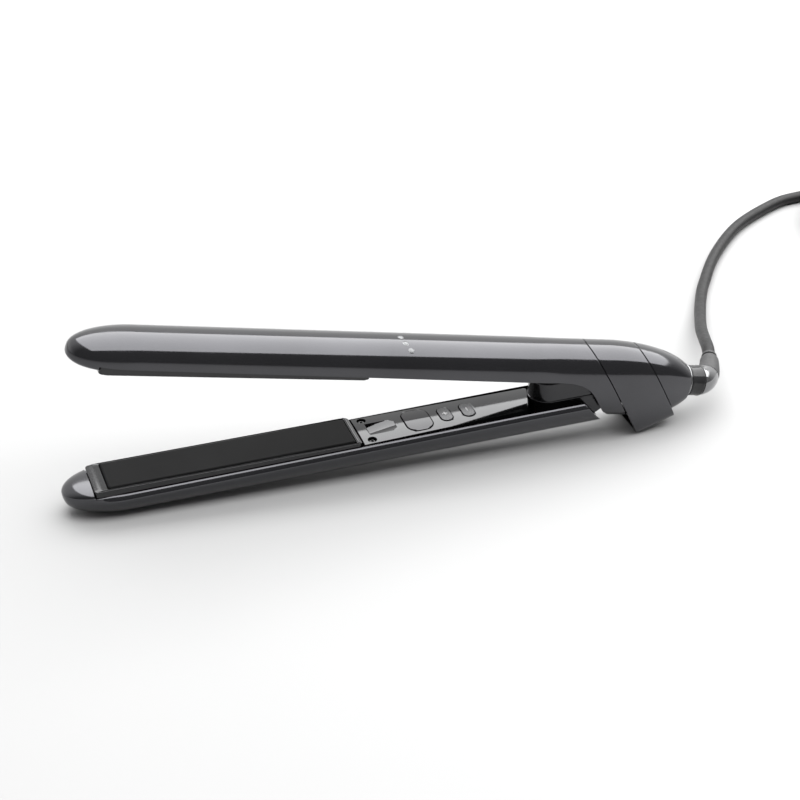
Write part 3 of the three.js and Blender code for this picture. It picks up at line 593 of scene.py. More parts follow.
def shell_mesh(rings):
    """Skins the rings and closes both ends with strips from the outer side to the inner one."""
    verts, faces = loft(rings, cap_start=False, cap_end=False)
    count = len(rings[0])
    outer = 2 * SKIN_STEPS + 1 + 6
    for base, turned in ((0, True), ((len(rings) - 1) * count, False)):
        for i in range(3, outer - 4):
            j = count - 1 - (i - 3)
            quad = (base + i, base + i + 1, base + j - 1, base + j)
            faces.append(quad[::-1] if turned else quad)
        near = (base + 3, base + count - 1, base, base + 1, base + 2)
        far = (base + outer - 4, base + outer - 3, base + outer - 2, base + outer - 1, base + outer)
        faces.append(near)
        faces.append(far)
    return verts, faces


def flat_station(x):
    return lambda z: x


def arm_rings(rim, end, shoulder=0.0):
    """Rings of an arm's shell: the solid nose, then the hollow channel up to an end."""
    section = arm_section(rim)
    rings = [shell_ring(flat_station(x), section, hollow=None)
             for x in spaced(TIP_X + 0.01, NOSE_END, 20, lambda t: t * t)]
    xs = spaced(NOSE_END, NOSE_CURVE_END, 8) + spaced(NOSE_CURVE_END, end, 14)[1:]
    for x in xs:
        reach = eased(x, NOSE_END, 0, NOSE_END + SHOULDER_RUN, shoulder)
        rings.append(shell_ring(flat_station(x), section, shoulder=reach))
    return rings


def cheek_edge():
    """The lower edge of a cheek, in X and Z: straight, an S-bend, a slope and a rounded corner."""
    level, toe = 2.3, -15.4
    line = [Vector((x, level)) for x in spaced(CHEEK_START, -50, 8)]
    bend = [Vector(p) for p in ((-50, level), (-37, level), (-32, 0.8), (-26.9, -5.4))]
    for t in spaced(0, 1, 20)[1:]:
        weights = ((1 - t) ** 3, 3 * t * (1 - t) ** 2, 3 * t * t * (1 - t), t ** 3)
        line.append(sum((p * w for p, w in zip(bend, weights)), Vector((0, 0))))
    line += [Vector((x, between(x, -26.9, -5.4, -19.9, -14.1))) for x in spaced(-26.9, -20.6, 6)[1:]]
    line += [Vector((x, eased(x, -20.6, -13.2, -16.5, toe))) for x in spaced(-20.6, -16.5, 6)[1:]]
    return line + [Vector((x, toe)) for x in spaced(-16.5, seam(SEAM_FRONT - GAP / 2)(toe), 6)[1:]]


def resampled(points, count):
    """The same line with its points evenly spread along it."""
    lengths = [0.0]
    for a, b in zip(points, points[1:]):
        lengths.append(lengths[-1] + (b - a).length)
    result = []
    k = 0
    for i in range(count + 1):
        target = lengths[-1] * i / count
        while k < len(points) - 2 and lengths[k + 1] < target:
            k += 1
        span = lengths[k + 1] - lengths[k]
        result.append(points[k].lerp(points[k + 1], (target - lengths[k]) / span if span else 0))
    return result


def seam(crossing):
    """The slanted plane of a seam, by where it crosses the mating plane."""
    return lambda z: crossing - z / SEAM_SLOPE


def upper_shell():
    """The upper arm's back and its two cheeks, up to the collar's slanted seam."""
    rings = arm_rings(upper_rim, CHEEK_START)
    edge = resampled(cheek_edge(), CHEEK_STEPS)
    top_end = seam(SEAM_FRONT - GAP / 2)(ARM_DEPTH)
    for i, corner in enumerate(edge[1:], 1):
        top_x = CHEEK_START + (top_end - CHEEK_START) * i / CHEEK_STEPS

        def x_of(z, low=corner, high=top_x):
            return low.x + (high - low.x) * (z - low.y) / (ARM_DEPTH - low.y)
        u = edge_parameter(cheek_section(corner.x), corner.y)
        if i < CHEEK_STEPS:
            rings.append(shell_ring(x_of, cheek_section, u, slot=KNUCKLE_SLOT_HALF))
            continue
        for back, inset in EDGE_STEPS:
            rings.append(shell_ring(lambda z: x_of(z) - back, cheek_section, u, inset,
                                    slot=KNUCKLE_SLOT_HALF))
    build("upper_shell_skin", shell_mesh(rings), "upper_arm", "gunmetal", UPPER, ("upper_shell",), 50,
          weighted=True)


def lower_shell():
    """The lower arm's back, cut off aslant under the knuckle."""
    rings = arm_rings(lower_rim, RIM_END, LOWER_SHOULDER)
    section = arm_section(lower_rim)

    def x_of(z, t, back=0.0):
        return RIM_END * (1 - t) + (LOWER_SHELL_SEAM + 0.8 * z) * t - back
    for t in spaced(0, 1, 8)[1:-1]:
        rings.append(shell_ring(lambda z: x_of(z, t), section, shoulder=LOWER_SHOULDER))
    for back, inset in EDGE_STEPS:
        rings.append(shell_ring(lambda z: x_of(z, 1, back), section, inset=inset, shoulder=LOWER_SHOULDER))
    build("lower_shell_skin", shell_mesh(rings), "lower_arm", "gunmetal", LOWER, ("lower_shell",), 50,
          weighted=True)


def closed_ring(x_of, section_at, inset=0.0, lowest=None):
    """A full ring of the tail, its points evenly spread over each quarter."""
    ring = []
    for side, start, end in ((1, 0, 1), (-1, 1, 0), (-1, 0, -1), (1, -1, 0)):
        quarter = []
        for t in spaced(0, 1, 80, lambda t: (1 - math.cos(math.pi * t)) / 2):
            p = on_station(x_of, section_at, start + (end - start) * t, inset)
            if lowest:
                p.z = max(p.z, lowest(p.x) + inset)
            quarter.append(Vector((x_of(p.z), side * p.y, p.z)))
        ring += resampled(quarter, QUARTER_STEPS)[:-1]
    return ring


def collar_floor(x):
    """The height, in the upper arm's frame, of the surface that the tool lies on."""
    turn = OPEN_ANGLE - LIE_ANGLE
    return (x * math.sin(turn) - PIVOT.z) / math.cos(turn) + 0.01


def hinge_collar():
    """The collar between the two seams, flat where the tool lies on it."""
    front = SEAM_FRONT + GAP / 2
    rear = SEAM_REAR - GAP / 2
    rings = [closed_ring(seam(front + back), collar_section, inset, collar_floor)
             for back, inset in reversed(EDGE_STEPS)]
    rings += [closed_ring(seam(c), collar_section, 0, collar_floor) for c in spaced(front, rear, 16)[1:-1]]
    rings += [closed_ring(seam(rear - back), collar_section, inset, collar_floor)
              for back, inset in EDGE_STEPS]
    rings += [closed_ring(seam(c), collar_section, WALL, collar_floor) for c in spaced(rear, front, 6)]
    build("hinge_collar_skin", loft(rings, around=True), "upper_arm", "gunmetal", UPPER, ("hinge_collar",),
          50, weighted=True)


def tail_cap():
    """The rounded end of the upper arm, with a round mouth for the swivel."""
    front = seam(SEAM_REAR + GAP / 2)

    def station(t, back=0.0):
        return lambda z: (front(z) + back) * (1 - t) + (TAIL_END_X - back) * t

    def mouth(ring, x, radius):
        centre = Vector((0, TAIL_CENTRE_Z))
        turned = [(Vector((p.y, p.z)) - centre).normalized() * radius + centre for p in ring]
        return [Vector((x, p.x, p.y)) for p in turned]
    rings = [closed_ring(station(0, back), cap_section, inset) for back, inset in reversed(EDGE_STEPS)]
    rings += [closed_ring(station(t), cap_section) for t in spaced(0, 1, 20)[1:-1]]
    rings += [closed_ring(station(1, back), cap_section, inset) for back, inset in EDGE_STEPS]
    rings += [mouth(rings[-1], TAIL_END_X, 6.4), mouth(rings[-1], TAIL_END_X - WALL, 6.4)]
    rings += [closed_ring(station(t), cap_section, WALL) for t in spaced(0.88, 0, 8)]
    build("tail_cap_skin", loft(rings, around=True), "upper_arm", "gunmetal", UPPER, ("tail_cap",), 50,
          weighted=True)


upper_shell()
lower_shell()
hinge_collar()
tail_cap()


# ---- swivel, elbow and strain relief

AXIS_X = (1, 0, 0)
ELBOW_BEND = math.radians(66)
ELBOW_TURN = math.radians(9)
ELBOW_CORNER = Vector((COLLAR_END_X + 6.4, 0, TAIL_CENTRE_Z))
ELBOW_REACH = 15.5
ELBOW_START_RADIUS = 6.9
ELBOW_END_RADIUS = 4.5
ELBOW_SIDES = 56
ELBOW_DIRECTION = Vector((math.cos(ELBOW_BEND), math.sin(ELBOW_BEND) * math.cos(ELBOW_TURN),
                          math.sin(ELBOW_BEND) * math.sin(ELBOW_TURN)))
ELBOW_END = ELBOW_CORNER + ELBOW_DIRECTION * ELBOW_REACH


def turned_piece(name, profile, body, slot, replaced, start_x, material=None):
    """A ring-shaped piece turned from a closed profile of (distance along the tail's axis, radius)."""
    build(name, loft(lathe(profile, (start_x, 0, TAIL_CENTRE_Z), AXIS_X), around=True), body, slot,
                 UPPER, replaced, 40, material=material, weighted=True)


def trim_ring():
    """A thin half-round band round the tail cap's mouth."""
    inner = [(0.0, 6.5), (0.8, 6.5)]
    rim = [(0.4 + 0.4 * math.cos(a), 7.65 + 0.35 * math.sin(a)) for a in spaced(0, math.pi, 10)]
    turned_piece("tail_trim_band", inner + rim, "upper_arm", "steel", ("tail_trim_ring",), TAIL_END_X + GAP,
                 material=TRIM_STEEL)


def swivel_collar():
    """A gloss sleeve that starts in the tail, with a shallow waist and a rolled lip at its far end."""
    outside = COLLAR_END_X - TAIL_END_X
    profile = [(-6, 4.9), (outside - 0.3, 4.9), (outside, 5.2), (outside, 6.7)]
    profile += [(outside - 0.45 + 0.45 * math.cos(a), 6.75 + 0.45 * math.sin(a))
                for a in spaced(0, math.pi / 2, 5)]
    profile += [(outside - 1.2, 7.2), (outside - 1.5, 7.05), (3.4, 7.02), (3.1, 7.2), (2.2, 7.2), (1.95, 7.0)]
    profile += [(1.9, 6.1), (-6, 6.1)]
    turned_piece("swivel_sleeve", profile, "cord_swivel", "gloss_black", ("swivel_collar",), TAIL_END_X)


def elbow_ring(t, radius):
    """A ring round the elbow's bend, which runs from t = 0 at the swivel to t = 1."""
    start = Vector((COLLAR_END_X + GAP, 0, TAIL_CENTRE_Z))
    centre = start * (1 - t) ** 2 + ELBOW_CORNER * 2 * t * (1 - t) + ELBOW_END * t * t
    tangent = ((ELBOW_CORNER - start) * (1 - t) + (ELBOW_END - ELBOW_CORNER) * t).normalized()
    side = Vector(AXIS_X).cross(ELBOW_DIRECTION).normalized()
    return round_ring(centre, side.cross(tangent), side, radius, ELBOW_SIDES)


def elbow():
    """A gloss bend, and the matte end piece that the lead leaves by."""
    parting = 0.5

    def radius(t):
        return ELBOW_START_RADIUS + (ELBOW_END_RADIUS - ELBOW_START_RADIUS) * t
    rings = [elbow_ring(0, 4.2), elbow_ring(0, 6.6), elbow_ring(0.005, 6.85)]
    rings += [elbow_ring(t, radius(t)) for t in spaced(0.02, parting - 0.02, 22)]
    rings += [elbow_ring(parting - 0.008, radius(parting) - 0.12), elbow_ring(parting, radius(parting) - 0.6)]
    build("elbow_bend", loft(rings), "cord_swivel", "gloss_black", UPPER, ("swivel_elbow",), 50,
          weighted=True, material=ELBOW_GLOSS)

    rings = [elbow_ring(parting, 3.6), elbow_ring(parting + 0.004, radius(parting) - 0.55)]
    rings += [elbow_ring(parting + 0.012, radius(parting) - 0.1)]
    rings += [elbow_ring(t, radius(t)) for t in spaced(parting + 0.03, 1, 10)]
    side = Vector(AXIS_X).cross(ELBOW_DIRECTION).normalized()
    outward = side.cross(ELBOW_DIRECTION)

    def end_ring(along, size):
        return round_ring(ELBOW_END + ELBOW_DIRECTION * along, outward, side, size, ELBOW_SIDES)
    dome = spaced(0, math.radians(52), 8)[1:]
    rings += [end_ring(ELBOW_END_RADIUS * math.sin(a), ELBOW_END_RADIUS * math.cos(a)) for a in dome]
    lip = ((3.6, 3.45), (3.75, 3.7), (4.6, 3.66), (5.2, 3.58), (5.4, 3.4), (5.4, 3.1))
    rings += [end_ring(along, size) for along, size in lip]
    build("elbow_end", loft(rings), "cord_swivel", "dark_plastic", UPPER, (), 50, weighted=True,
          material=ELBOW_MATTE)


trim_ring()
swivel_collar()
elbow()


# ---- carriers and heating plates

CARRIER_START = -256.2
CARRIER_END = -137.6
CARRIER_HALF_WIDTH = 11.25
CARRIER_RIM = 0.9
CARRIER_ROLL = 0.45
CARRIER_RIDGE = 0.4
POCKET_ROLL = 0.2
POCKET_HALF = (PLATE_LENGTH / 2 + 0.35, PLATE_WIDTH / 2 + 0.35)


def level_ring(outline, z):
    return [(x, y, z) for x, y in outline]


def plate_carrier(side, place):
    """A frame with a rolled rim round the pocket that its plate floats in."""
    middle = (CARRIER_START + CARRIER_END) / 2
    half = (CARRIER_END - CARRIER_START) / 2

    def outer(inset):
        return rounded_outline(half - inset, CARRIER_HALF_WIDTH - inset, 1.6, 8, (middle, 0))

    def pocket(growth):
        return rounded_outline(POCKET_HALF[0] + growth, POCKET_HALF[1] + growth, 0.8, 8, (PLATE_MIDDLE, 0))
    rings = [level_ring(outer(0.8), 8.2), level_ring(outer(0), 7.4)]
    rings += [level_ring(outer(inset), CARRIER_RIM + depth) for inset, depth in rolled(CARRIER_ROLL)]
    for t in (0.2, 0.35, 0.5, 0.65, 0.8):
        ridge = [(a + (c - a) * t, b + (d - b) * t)
                 for (a, b), (c, d) in zip(outer(CARRIER_ROLL), pocket(POCKET_ROLL))]
        rings.append(level_ring(ridge, CARRIER_RIM - CARRIER_RIDGE * math.sin(math.pi * t)))
    rings += [level_ring(pocket(POCKET_ROLL * math.cos(a)), CARRIER_RIM + POCKET_ROLL * (1 - math.sin(a)))
              for a in spaced(math.pi / 2, 0, 3)]
    rings += [level_ring(pocket(0), 1.3), level_ring(pocket(0), 7.2)]
    build(f"{side}_carrier_frame", loft(rings), f"{side}_arm", "inner_grey", place,
          (f"{side}_plate_carrier",), 50, weighted=True, material=CARRIER_GREY)


def heating_plate(side, place):
    """A coated plate with rolled long edges and rounded corners."""
    def outline(inset):
        return rounded_outline(PLATE_LENGTH / 2 - inset, PLATE_WIDTH / 2 - inset, 1.3, 8, (PLATE_MIDDLE, 0))
    edge = [(0.15, PLATE_THICKNESS), (0, PLATE_THICKNESS - 0.15), *rolled(PLATE_ROLL, 7)]
    rings = [level_ring(outline(inset), PLATE_FACE + depth) for inset, depth in edge]
    build(f"{side}_plate_skin", loft(rings), f"{side}_plate", "plate_coat", place, (f"{side}_heating_plate",),
          50, weighted=True)


for arm_side, arm_place in (("upper", UPPER), ("lower", LOWER)):
    plate_carrier(arm_side, arm_place)
    heating_plate(arm_side, arm_place)


# ---- inner covers, buttons and screws

COVER_START = -136.4
COVER_END = -55.6
COVER_CORNER_START = COVER_END - 1.8
COVER_DEPTH = 5.4
RAMP_START = -131.9
RAMP_END = -118.8
RAMP_HALF_WIDTH = 4.6
CROWN = 0.45
PANEL_SKEW = 0.337
SKEW_RUN = 16.0
TROUGH = 0.7
SCREW_PLACES = ((-132.2, 8.0), (-132.2, -8.0))
SCREW_HEAD = 1.6
SCREW_SHANK = 0.8
SCREW_TOP = 2.9
SCREW_SEAT = 3.6
SCREW_END = 8.5
SOCKET_RADIUS = 0.72
SCREW_WELL = 2.1
POWER_PLACE = -108.6
POWER_HALF = (5.9, 8.2)
POWER_CORNER = 4.6
WELL_GAP = 0.5
CUT_TOP = -2
SCREW_WELL_FLOOR = 4.4
POWER_WELL_FLOOR = 4.8
SMALL_WELL_FLOOR = 4.6
BUTTON_DEPTH = 3.3
BUTTON_RISE = 0.35
POWER_CROWN = 0.0075
SMALL_CROWN = 0.009
MARK_HALF = (0.24, 1.25)
SMALL_BUTTONS = {"plus": -95.4, "minus": -84.9}
SMALL_HALF = (2.65, 5.3)


def cover_half_width(x):
    return between(x, COVER_START, 10.7, COVER_END, 8.9)


def panel_face(x):
    return between(x, COVER_START, 1.9, COVER_END, 0.8)


def end_taper(x, start, end, depth):
    """The factor of a half width that falls by a depth over a piece's end."""
    return 1 - depth * (1 - rounded_off(x, start, end))


def cover_mesh(face, skew=0.0):
    """A tapering cover with a crowned face; its hinge end has rounded corners and may run askew."""
    rings = []
    stations = spaced(COVER_START, COVER_CORNER_START, 20)
    stations += spaced(COVER_CORNER_START, COVER_END, 14, lambda t: math.sin(t * math.pi / 2))[1:]
    for x in stations:
        half = cover_half_width(x) * end_taper(x, COVER_CORNER_START, COVER_END, 0.2)
        ring = [(x, half, COVER_DEPTH)]
        for y in spaced(half, -half, 28):
            ring.append((x, y, face(x) + CROWN * (y / cover_half_width(x)) ** 2))
        ring.append((x, -half, COVER_DEPTH))
        lean = between(x, COVER_END - SKEW_RUN, 0, COVER_END, skew)
        rings.append([(a - lean * b, b, c) for a, b, c in ring])
    return loft(rings)


def prism(outline, low, high):
    return loft([level_ring(outline, low), level_ring(outline, high)])


def stadium(half_x, half_y, steps=12):
    return rounded_outline(half_x, half_y, half_x - 0.001, steps)


def shifted(outline, x, y=0.0):
    return [(a + x, b + y) for a, b in outline]


def circle(radius, steps=40):
    return [(radius * math.cos(a), radius * math.sin(a)) for a in full_turn(steps)]


def button_panel():
    """The keypad's cover: crowned, with a ramped recess, two screw wells and three button wells."""
    cutters = []

    def cut(name, mesh):
        cutters.append(raw_object(name, *mesh, LOWER))
    rings = []
    for x in spaced(RAMP_START, RAMP_END, 24):
        depth = between(x, RAMP_START, 4.2, RAMP_END, panel_face(RAMP_END) + 0.25)
        half = RAMP_HALF_WIDTH * end_taper(x, RAMP_END - 3, RAMP_END, 0.35)
        trough = [(x, y, depth - TROUGH * (y / RAMP_HALF_WIDTH) ** 2) for y in spaced(half, -half, 24)]
        rings.append([(x, half, CUT_TOP), *trough, (x, -half, CUT_TOP)])
    cut("ramp_cut", loft(rings))
    for i, (x, y) in enumerate(SCREW_PLACES):
        cut(f"screw_cut_{i}", prism(shifted(circle(SCREW_WELL, 56), x, y), CUT_TOP, SCREW_WELL_FLOOR))
    well = rounded_outline(POWER_HALF[0] + WELL_GAP, POWER_HALF[1] + WELL_GAP, POWER_CORNER + WELL_GAP, 20,
                           (POWER_PLACE, 0))
    cut("power_cut", prism(well, CUT_TOP, POWER_WELL_FLOOR))
    for name, x in SMALL_BUTTONS.items():
        small_well = stadium(SMALL_HALF[0] + WELL_GAP, SMALL_HALF[1] + WELL_GAP)
        cut(f"{name}_cut", prism(shifted(small_well, x), CUT_TOP, SMALL_WELL_FLOOR))
    build("keypad_cover", cover_mesh(panel_face, PANEL_SKEW), "lower_arm", "inner_grey", LOWER,
          ("button_panel",), 28, bevel=0.16, segments=2, weighted=True, cutters=cutters)


def upper_cover():
    """The upper arm's inner cover, with the wedge that fits the keypad's ramped recess."""
    build("upper_cover_skin", cover_mesh(lambda x: 2.2), "upper_arm", "inner_grey", UPPER,
          ("upper_inner_cover",), 28, bevel=0.25, segments=2, weighted=True)
    side = [(RAMP_START + 0.8, 3), (RAMP_START + 0.8, -0.9), (RAMP_START + 2.4, -0.9), (RAMP_END - 2.2, 3)]
    half = RAMP_HALF_WIDTH - 0.7
    build("upper_cover_wedge", loft([[(x, half, z) for x, z in side], [(x, -half, z) for x, z in side]]),
          "upper_arm", "inner_grey", UPPER, (), 28, bevel=0.25, segments=3, weighted=True)


def button_cap(half_x, half_y, corner, place_x, face, crown):
    """A push button with straight sides, a rolled edge and a top crowned across the arm like the panel."""
    arc = [(inset - half_x, half_y - depth) for inset, depth in rolled(corner, 10)]
    rings = []
    for x, half in arc + [(-x, half) for x, half in reversed(arc[:-1])]:
        top = [(place_x + x, y, face + crown * y * y) for y in spaced(half, -half, 20)]
        rings.append([(place_x + x, half, BUTTON_DEPTH), *top, (place_x + x, -half, BUTTON_DEPTH)])
    return loft(rings)


def power_button():
    cap = button_cap(*POWER_HALF, POWER_CORNER, POWER_PLACE, panel_face(POWER_PLACE) - BUTTON_RISE,
                     POWER_CROWN)
    build("power_button_cap", cap, "power_button", "inner_grey", LOWER, ("power_button",), 28,
          bevel=0.35, weighted=True, material=POWER_GREY)


def small_button(name, x):
    """A stadium-shaped button with its plus or minus mark."""
    face = panel_face(x) - BUTTON_RISE
    build(f"{name}_button_cap", button_cap(*SMALL_HALF, SMALL_HALF[0] - 0.01, x, face, SMALL_CROWN),
          f"{name}_button", "inner_grey", LOWER, (f"{name}_button",), 28, bevel=0.3, weighted=True,
          material=BUTTON_GREY)
    bars = [rounded_outline(*MARK_HALF, 0.2, 3, (x, 0))]
    if name == "plus":
        bars.append(rounded_outline(*reversed(MARK_HALF), 0.2, 3, (x, 0)))
    for i, bar in enumerate(bars):
        build(f"{name}_mark_{i + 1}", prism(bar, face + 0.1, face - 0.07 - 0.02 * i), f"{name}_button",
              "inner_grey", LOWER, (), 40, material=MARK_WHITE)


def panel_screw(number, x, y):
    """A pan head with a hexagonal socket, low in its well."""
    corners = [Vector(p) for p in circle(SOCKET_RADIUS, 6)]
    hexagon = [tuple(first.lerp(second, i / 7))
               for first, second in zip(corners, corners[1:] + corners[:1]) for i in range(7)]

    def disc(radius, z):
        return level_ring(shifted(circle(radius, 42), x, y), z)
    rings = [disc(SCREW_SHANK, SCREW_END), disc(SCREW_SHANK, SCREW_SEAT + 0.1), disc(SCREW_HEAD, SCREW_SEAT)]
    rings += [disc(SCREW_HEAD - inset, SCREW_TOP + depth) for inset, depth in rolled(0.5)]
    rings += [level_ring(shifted(hexagon, x, y), z) for z in (SCREW_TOP, SCREW_TOP + 0.8)]
    build(f"panel_screw_head_{number}", loft(rings), "lower_arm", "steel", LOWER, (f"panel_screw_{number}",),
          40, material=SCREW_STEEL)


button_panel()
upper_cover()
power_button()
for button_name, button_x in SMALL_BUTTONS.items():
    small_button(button_name, button_x)
for screw_number, (screw_x, screw_y) in enumerate(SCREW_PLACES, 1):
    panel_screw(screw_number, screw_x, screw_y)


# ---- hinge knuckle

KNUCKLE_FRONT = -54.8
KNUCKLE_HALF_WIDTH = 8.5
KNUCKLE_EYE = 8.2
KNUCKLE_TOP = -9.8
KNUCKLE_ROLL = 1.0
KNUCKLE_RIDGE = ((-0.42, -0.28), (-0.25, -0.36), (0.0, -0.36), (0.15, -0.25), (0.2, 0.35))
FORK_HALF = (12, 4.4)
BORE_RADIUS = 2.85

# The room inside the lower shell, as half of a superellipse.
ROOM_HALF_WIDTH = 11.2
ROOM_BASE = -1.1
ROOM_HEIGHT = 15.2


def knuckle_ring(z, inset):
    """A level ring of the knuckle: a half-round front and a rear end that follows the eye round the pin."""
    half = KNUCKLE_HALF_WIDTH - inset
    if z > 6:
        left = 1 - ((z - ROOM_BASE) / ROOM_HEIGHT) ** BACK_POWER
        half = min(half, ROOM_HALF_WIDTH * max(left, 0.02) ** (1 / BACK_POWER))
    if z > KNUCKLE_EYE:
        rear = -22 - (z - KNUCKLE_EYE) / 0.6
    elif z < -KNUCKLE_EYE:
        rear = -14 + (z + KNUCKLE_EYE) * 12
    else:
        rear = math.sqrt(max(KNUCKLE_EYE ** 2 - z * z, 0))
    rear -= inset
    centre = KNUCKLE_FRONT + KNUCKLE_HALF_WIDTH
    front = [(centre - (KNUCKLE_HALF_WIDTH - inset) * math.cos(a), half * math.sin(a), z)
             for a in spaced(-math.pi / 2, math.pi / 2, 36)]
    sides = [(x, half, z) for x in spaced(centre, rear, 10)[1:]]
    return front + sides + [(x, -y, z) for x, y, z in reversed(sides)]


def hinge_knuckle():
    """A deep tongue with a rounded nose, a parting ridge round it and a forked eye for the spring."""
    rings = [knuckle_ring(KNUCKLE_TOP + depth, inset) for inset, depth in reversed(rolled(KNUCKLE_ROLL, 6))]
    rings += [knuckle_ring(z, 0) for z in spaced(KNUCKLE_TOP + KNUCKLE_ROLL, -0.5, 14)[1:]]
    rings += [knuckle_ring(z, inset) for z, inset in KNUCKLE_RIDGE]
    rings += [knuckle_ring(z, 0.35) for z in spaced(0.5, 12.9, 16)]
    fork = prism(rounded_outline(*FORK_HALF, 0.8, 4), -12, 12)
    bore = loft([[(x, y, z) for x, z in circle(BORE_RADIUS)] for y in (-15, 15)])
    cutters = [raw_object("fork_cut", *fork, LOWER), raw_object("bore_cut", *bore, LOWER)]
    build("hinge_knuckle_skin", loft(rings), "lower_arm", "inner_grey", LOWER, ("hinge_knuckle",), 45,
          weighted=True, cutters=cutters, material=KNUCKLE_GREY)


hinge_knuckle()


# ---- indicator lights

LAMP_PLACES = ((-122.7, 0), (-121.8, 4.7), (-120.1, 8.4))
LAMP_RIM = 3.0
LENS_RADIUS = 1.1
LENS_RISE = 0.30


def indicator_light(number, x, y):
    """A domed lens in a thin bezel, square to the arm's back where it stands."""
    reach = y / ARM_HALF_WIDTH
    height = ARM_DEPTH - LAMP_RIM
    rise = (1 - reach ** BACK_POWER) ** (1 / BACK_POWER)
    slope = -height / ARM_HALF_WIDTH * reach ** (BACK_POWER - 1) * rise ** (1 - BACK_POWER)
    centre = Vector((x, -y, LAMP_RIM + height * rise))
    axis = Vector((0, slope, 1)).normalized()
    dome = [(LENS_RISE * math.sin(a) - 0.02, LENS_RADIUS * math.cos(a))
            for a in spaced(0, math.radians(86), 8)]
    lens = [(-1.6, 0.02), (-1.6, LENS_RADIUS), *dome]
    build(f"indicator_lens_{number}", loft(lathe(lens, centre, axis, 48)), "upper_arm", "lamp_lens", UPPER,
          (f"indicator_light_{number}",), 40, weighted=True)
    bezel = [(-1.2, 1.14), (0.04, 1.14), (0.09, 1.18), (0.08, 1.26), (0.02, 1.34), (-1.2, 1.34)]
    build(f"indicator_bezel_{number}", loft(lathe(bezel, centre, axis, 48), around=True), "upper_arm",
          "dark_plastic", UPPER, (), 40, material=TRIM_STEEL)


for lamp_number, (lamp_x, lamp_y) in enumerate(LAMP_PLACES, 1):
    indicator_light(lamp_number, lamp_x, lamp_y)


# ---- coil tie and plug

TIE_THICKNESS = 0.9
TIE_HALF_LENGTH = 5.0
TIE_REACH = COIL_TURNS / 4 * COIL_PITCH + LEAD_DIAMETER / 2 + 1.3
TIE_TOP = 1.2 + 2 * COIL_PITCH + 0.3
PLUG_HALF_THICKNESS = 6.8
PLUG_PLACE = Matrix.Translation((407, 156.9, PLUG_HALF_THICKNESS)) @ Matrix.Rotation(-math.pi / 2, 4, "Z")
SLEEVE_LENGTH = 22
SLEEVE_RADIUS = 3.6
SLEEVE_FLARE = 1.1
GROOVE_PITCH = 2.6
GROOVE_DEPTH = 0.75
PLUG_END = 58
PLUG_CORNER = 4.6
PLUG_NECK_ROLL = 1.2
PLUG_FACE_HALF_WIDTH = 12.5
GRIP_PLACES = (36, 39, 42, 45)
PIN_SPACING = 18
PIN_LENGTH = 19


def coil_tie():
    """A soft strap with rounded edges, round the bundle of turns."""
    middle = (TIE_TOP + TIE_THICKNESS) / 2
    outer_size = (TIE_REACH + TIE_THICKNESS, middle)
    around = [(a, b + middle) for a, b in rounded_outline(*outer_size, 3.4, 10)]
    inner = [(a, b + middle) for a, b in rounded_outline(TIE_REACH, middle - TIE_THICKNESS, 2.5, 10)]
    rings = []
    for (a, b), (c, d) in zip(around, inner):
        ring = []
        for along, depth in ((-1, 0.35), (-0.94, 0.06), (-0.8, 0), (0.8, 0), (0.94, 0.06), (1, 0.35),
                             (1, 0.65), (0.94, 0.94), (0.8, 1), (-0.8, 1), (-0.94, 0.94), (-1, 0.65)):
            ring.append((a + (c - a) * depth, along * TIE_HALF_LENGTH, b + (d - b) * depth))
        rings.append(ring)
    place = Matrix.Translation(COIL_CENTRE) @ Matrix.Rotation(math.radians(225), 4, "Z")
    place = place @ Matrix.Translation((COIL_MEAN_RADIUS, 0, 0))
    return build("coil_tie_strap", loft(rings, around=True), "upper_arm", "dark_plastic", place,
                 ("coil_tie",), 40)


def plug_sleeve():
    """The plug's strain relief: a cone with ring grooves."""
    rings = [(0, 0.02), (0, 3.3), (0.25, SLEEVE_RADIUS)]
    for i in range(7):
        start = 1.6 + i * GROOVE_PITCH
        radius = SLEEVE_RADIUS + start / SLEEVE_LENGTH * SLEEVE_FLARE
        floor = radius - GROOVE_DEPTH
        rings += [(start, radius), (start + 0.2, floor), (start + 0.8, floor), (start + 1, radius)]
    rings += [(SLEEVE_LENGTH - 1, 4.75), (SLEEVE_LENGTH - 0.1, 4.75), (SLEEVE_LENGTH - 0.1, 0.02)]
    return build("plug_sleeve_skin", loft(lathe(rings, (0, 0, 0), AXIS_X, 48)), "upper_arm", "lead_skin",
                 PLUG_PLACE, ("plug_sleeve",), 50)


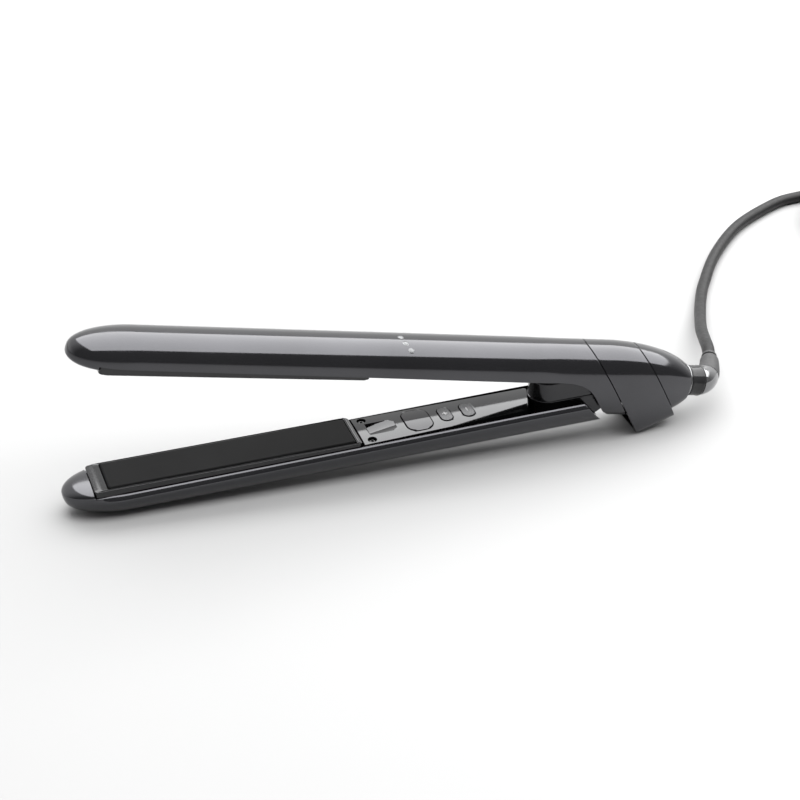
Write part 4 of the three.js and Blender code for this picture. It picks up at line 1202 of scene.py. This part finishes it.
def plug_body():
    """A flat two-pin plug with softly rounded edges and grip grooves across both faces."""
    def ring(x, half_width, half_height, corner):
        return [(x, y, z) for y, z in rounded_outline(half_width, half_height, corner, 8)]
    rings = []
    for a in spaced(0, math.pi / 2, 5):
        rings.append(ring(SLEEVE_LENGTH + PLUG_NECK_ROLL * (1 - math.cos(a)), 4.8 + 1.4 * math.sin(a),
                          5.2 + 0.8 * math.sin(a), PLUG_CORNER))
    for x in spaced(SLEEVE_LENGTH + PLUG_NECK_ROLL, 48, 20)[1:]:
        half_width = eased(x, SLEEVE_LENGTH, 6.2, 44, 13)
        half_height = eased(x, SLEEVE_LENGTH, 6, 32, PLUG_HALF_THICKNESS)
        rings.append(ring(x, half_width, half_height, PLUG_CORNER))
    for inset, depth in rolled(1):
        rings.append(ring(PLUG_END - depth, PLUG_FACE_HALF_WIDTH - inset, PLUG_HALF_THICKNESS - inset,
                          PLUG_CORNER - 0.6 * inset))
    cutters = []
    for x in GRIP_PLACES:
        for side in (-1, 1):
            bar = [(a + x, b) for a, b in rounded_outline(0.55, 6.5, 0.54, 5)]
            cutters.append(raw_object("grip_cut", *prism(bar, side * 6.3, side * 8), PLUG_PLACE))
    return build("plug_body_skin", loft(rings), "upper_arm", "lead_skin", PLUG_PLACE, ("plug_body",), 40,
                 weighted=True, cutters=cutters)


def plug_pin(side, y):
    """A round pin with a domed tip and an insulated root."""
    tip = [(PIN_LENGTH - 1.2 + 1.2 * math.sin(a), 0.4 + 1.5 * math.cos(a)) for a in spaced(0, math.pi / 2, 7)]
    steel = [(-4, 0.02), (-4, 1.9), *tip, (PIN_LENGTH, 0.02)]
    pin = build(f"plug_pin_steel_{side}", loft(lathe(steel, (PLUG_END, y, 0), AXIS_X, 40)), "upper_arm",
                "steel", PLUG_PLACE, (f"plug_pin_{side}",), 40)
    root = [(-2, 1.85), (-2, 2), (9.6, 2), (9.8, 1.95), (9.8, 1.85)]
    return pin, build(f"plug_pin_root_{side}", loft(lathe(root, (PLUG_END, y, 0), AXIS_X, 40), around=True),
                      "upper_arm", "dark_plastic", PLUG_PLACE, (), 40)


lead_pieces = [coil_tie(), plug_sleeve(), plug_body(), *plug_pin("left", -PIN_SPACING / 2),
               *plug_pin("right", PIN_SPACING / 2)]
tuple(lead_exit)
[p * MM for p in lead_line]


# ---- floor, light and the closing lines

# In metres and watts.
FLOOR_SIZE = 12
SOFTBOX_PLACE = (1.0, 0.45, 1.2)
SOFTBOX_SIZE = (3.2, 2.5)
SOFTBOX_POWER = 108
WORLD_NEAR = (0.20, 0.20, 0.205)
WORLD_FAR = (1.1, 1.1, 1.1)


def pale_floor():
    bpy.ops.mesh.primitive_plane_add(size=FLOOR_SIZE)
    floor = bpy.context.object
    floor.name = "floor"
    floor.data.materials.append(surface("pale_floor", (0.37, 0.37, 0.37), (0.38, 0.38, 0.38), 0.0, (0.7, 0.8),
                                        mottle=2, specular=0.2))


def overhead_softbox():
    """A level rectangle of light that shines straight down."""
    data = bpy.data.lights.new("overhead_softbox", "AREA")
    data.shape = "RECTANGLE"
    data.size, data.size_y = SOFTBOX_SIZE
    data.energy = SOFTBOX_POWER
    lamp = bpy.data.objects.new("overhead_softbox", data)
    lamp.location = SOFTBOX_PLACE
    bpy.context.scene.collection.objects.link(lamp)


def studio_world():
    """Dim in front of the tool and bright behind it."""
    world = bpy.data.worlds.new("studio")
    bpy.context.scene.world = world
    world.use_nodes = True
    tree = world.node_tree
    direction = tree.nodes.new("ShaderNodeTexCoord")
    parts = tree.nodes.new("ShaderNodeSeparateXYZ")
    tree.links.new(direction.outputs["Generated"], parts.inputs["Vector"])
    across = ranged(tree, parts.outputs["Y"], 0, 1, -0.3, 0.5)
    colour = mixed_colour(tree, across, WORLD_NEAR, WORLD_FAR)
    tree.links.new(colour, tree.nodes["Background"].inputs["Color"])


pale_floor()
overhead_softbox()
studio_world()
bpy.context.scene.view_settings.view_transform = "Standard"
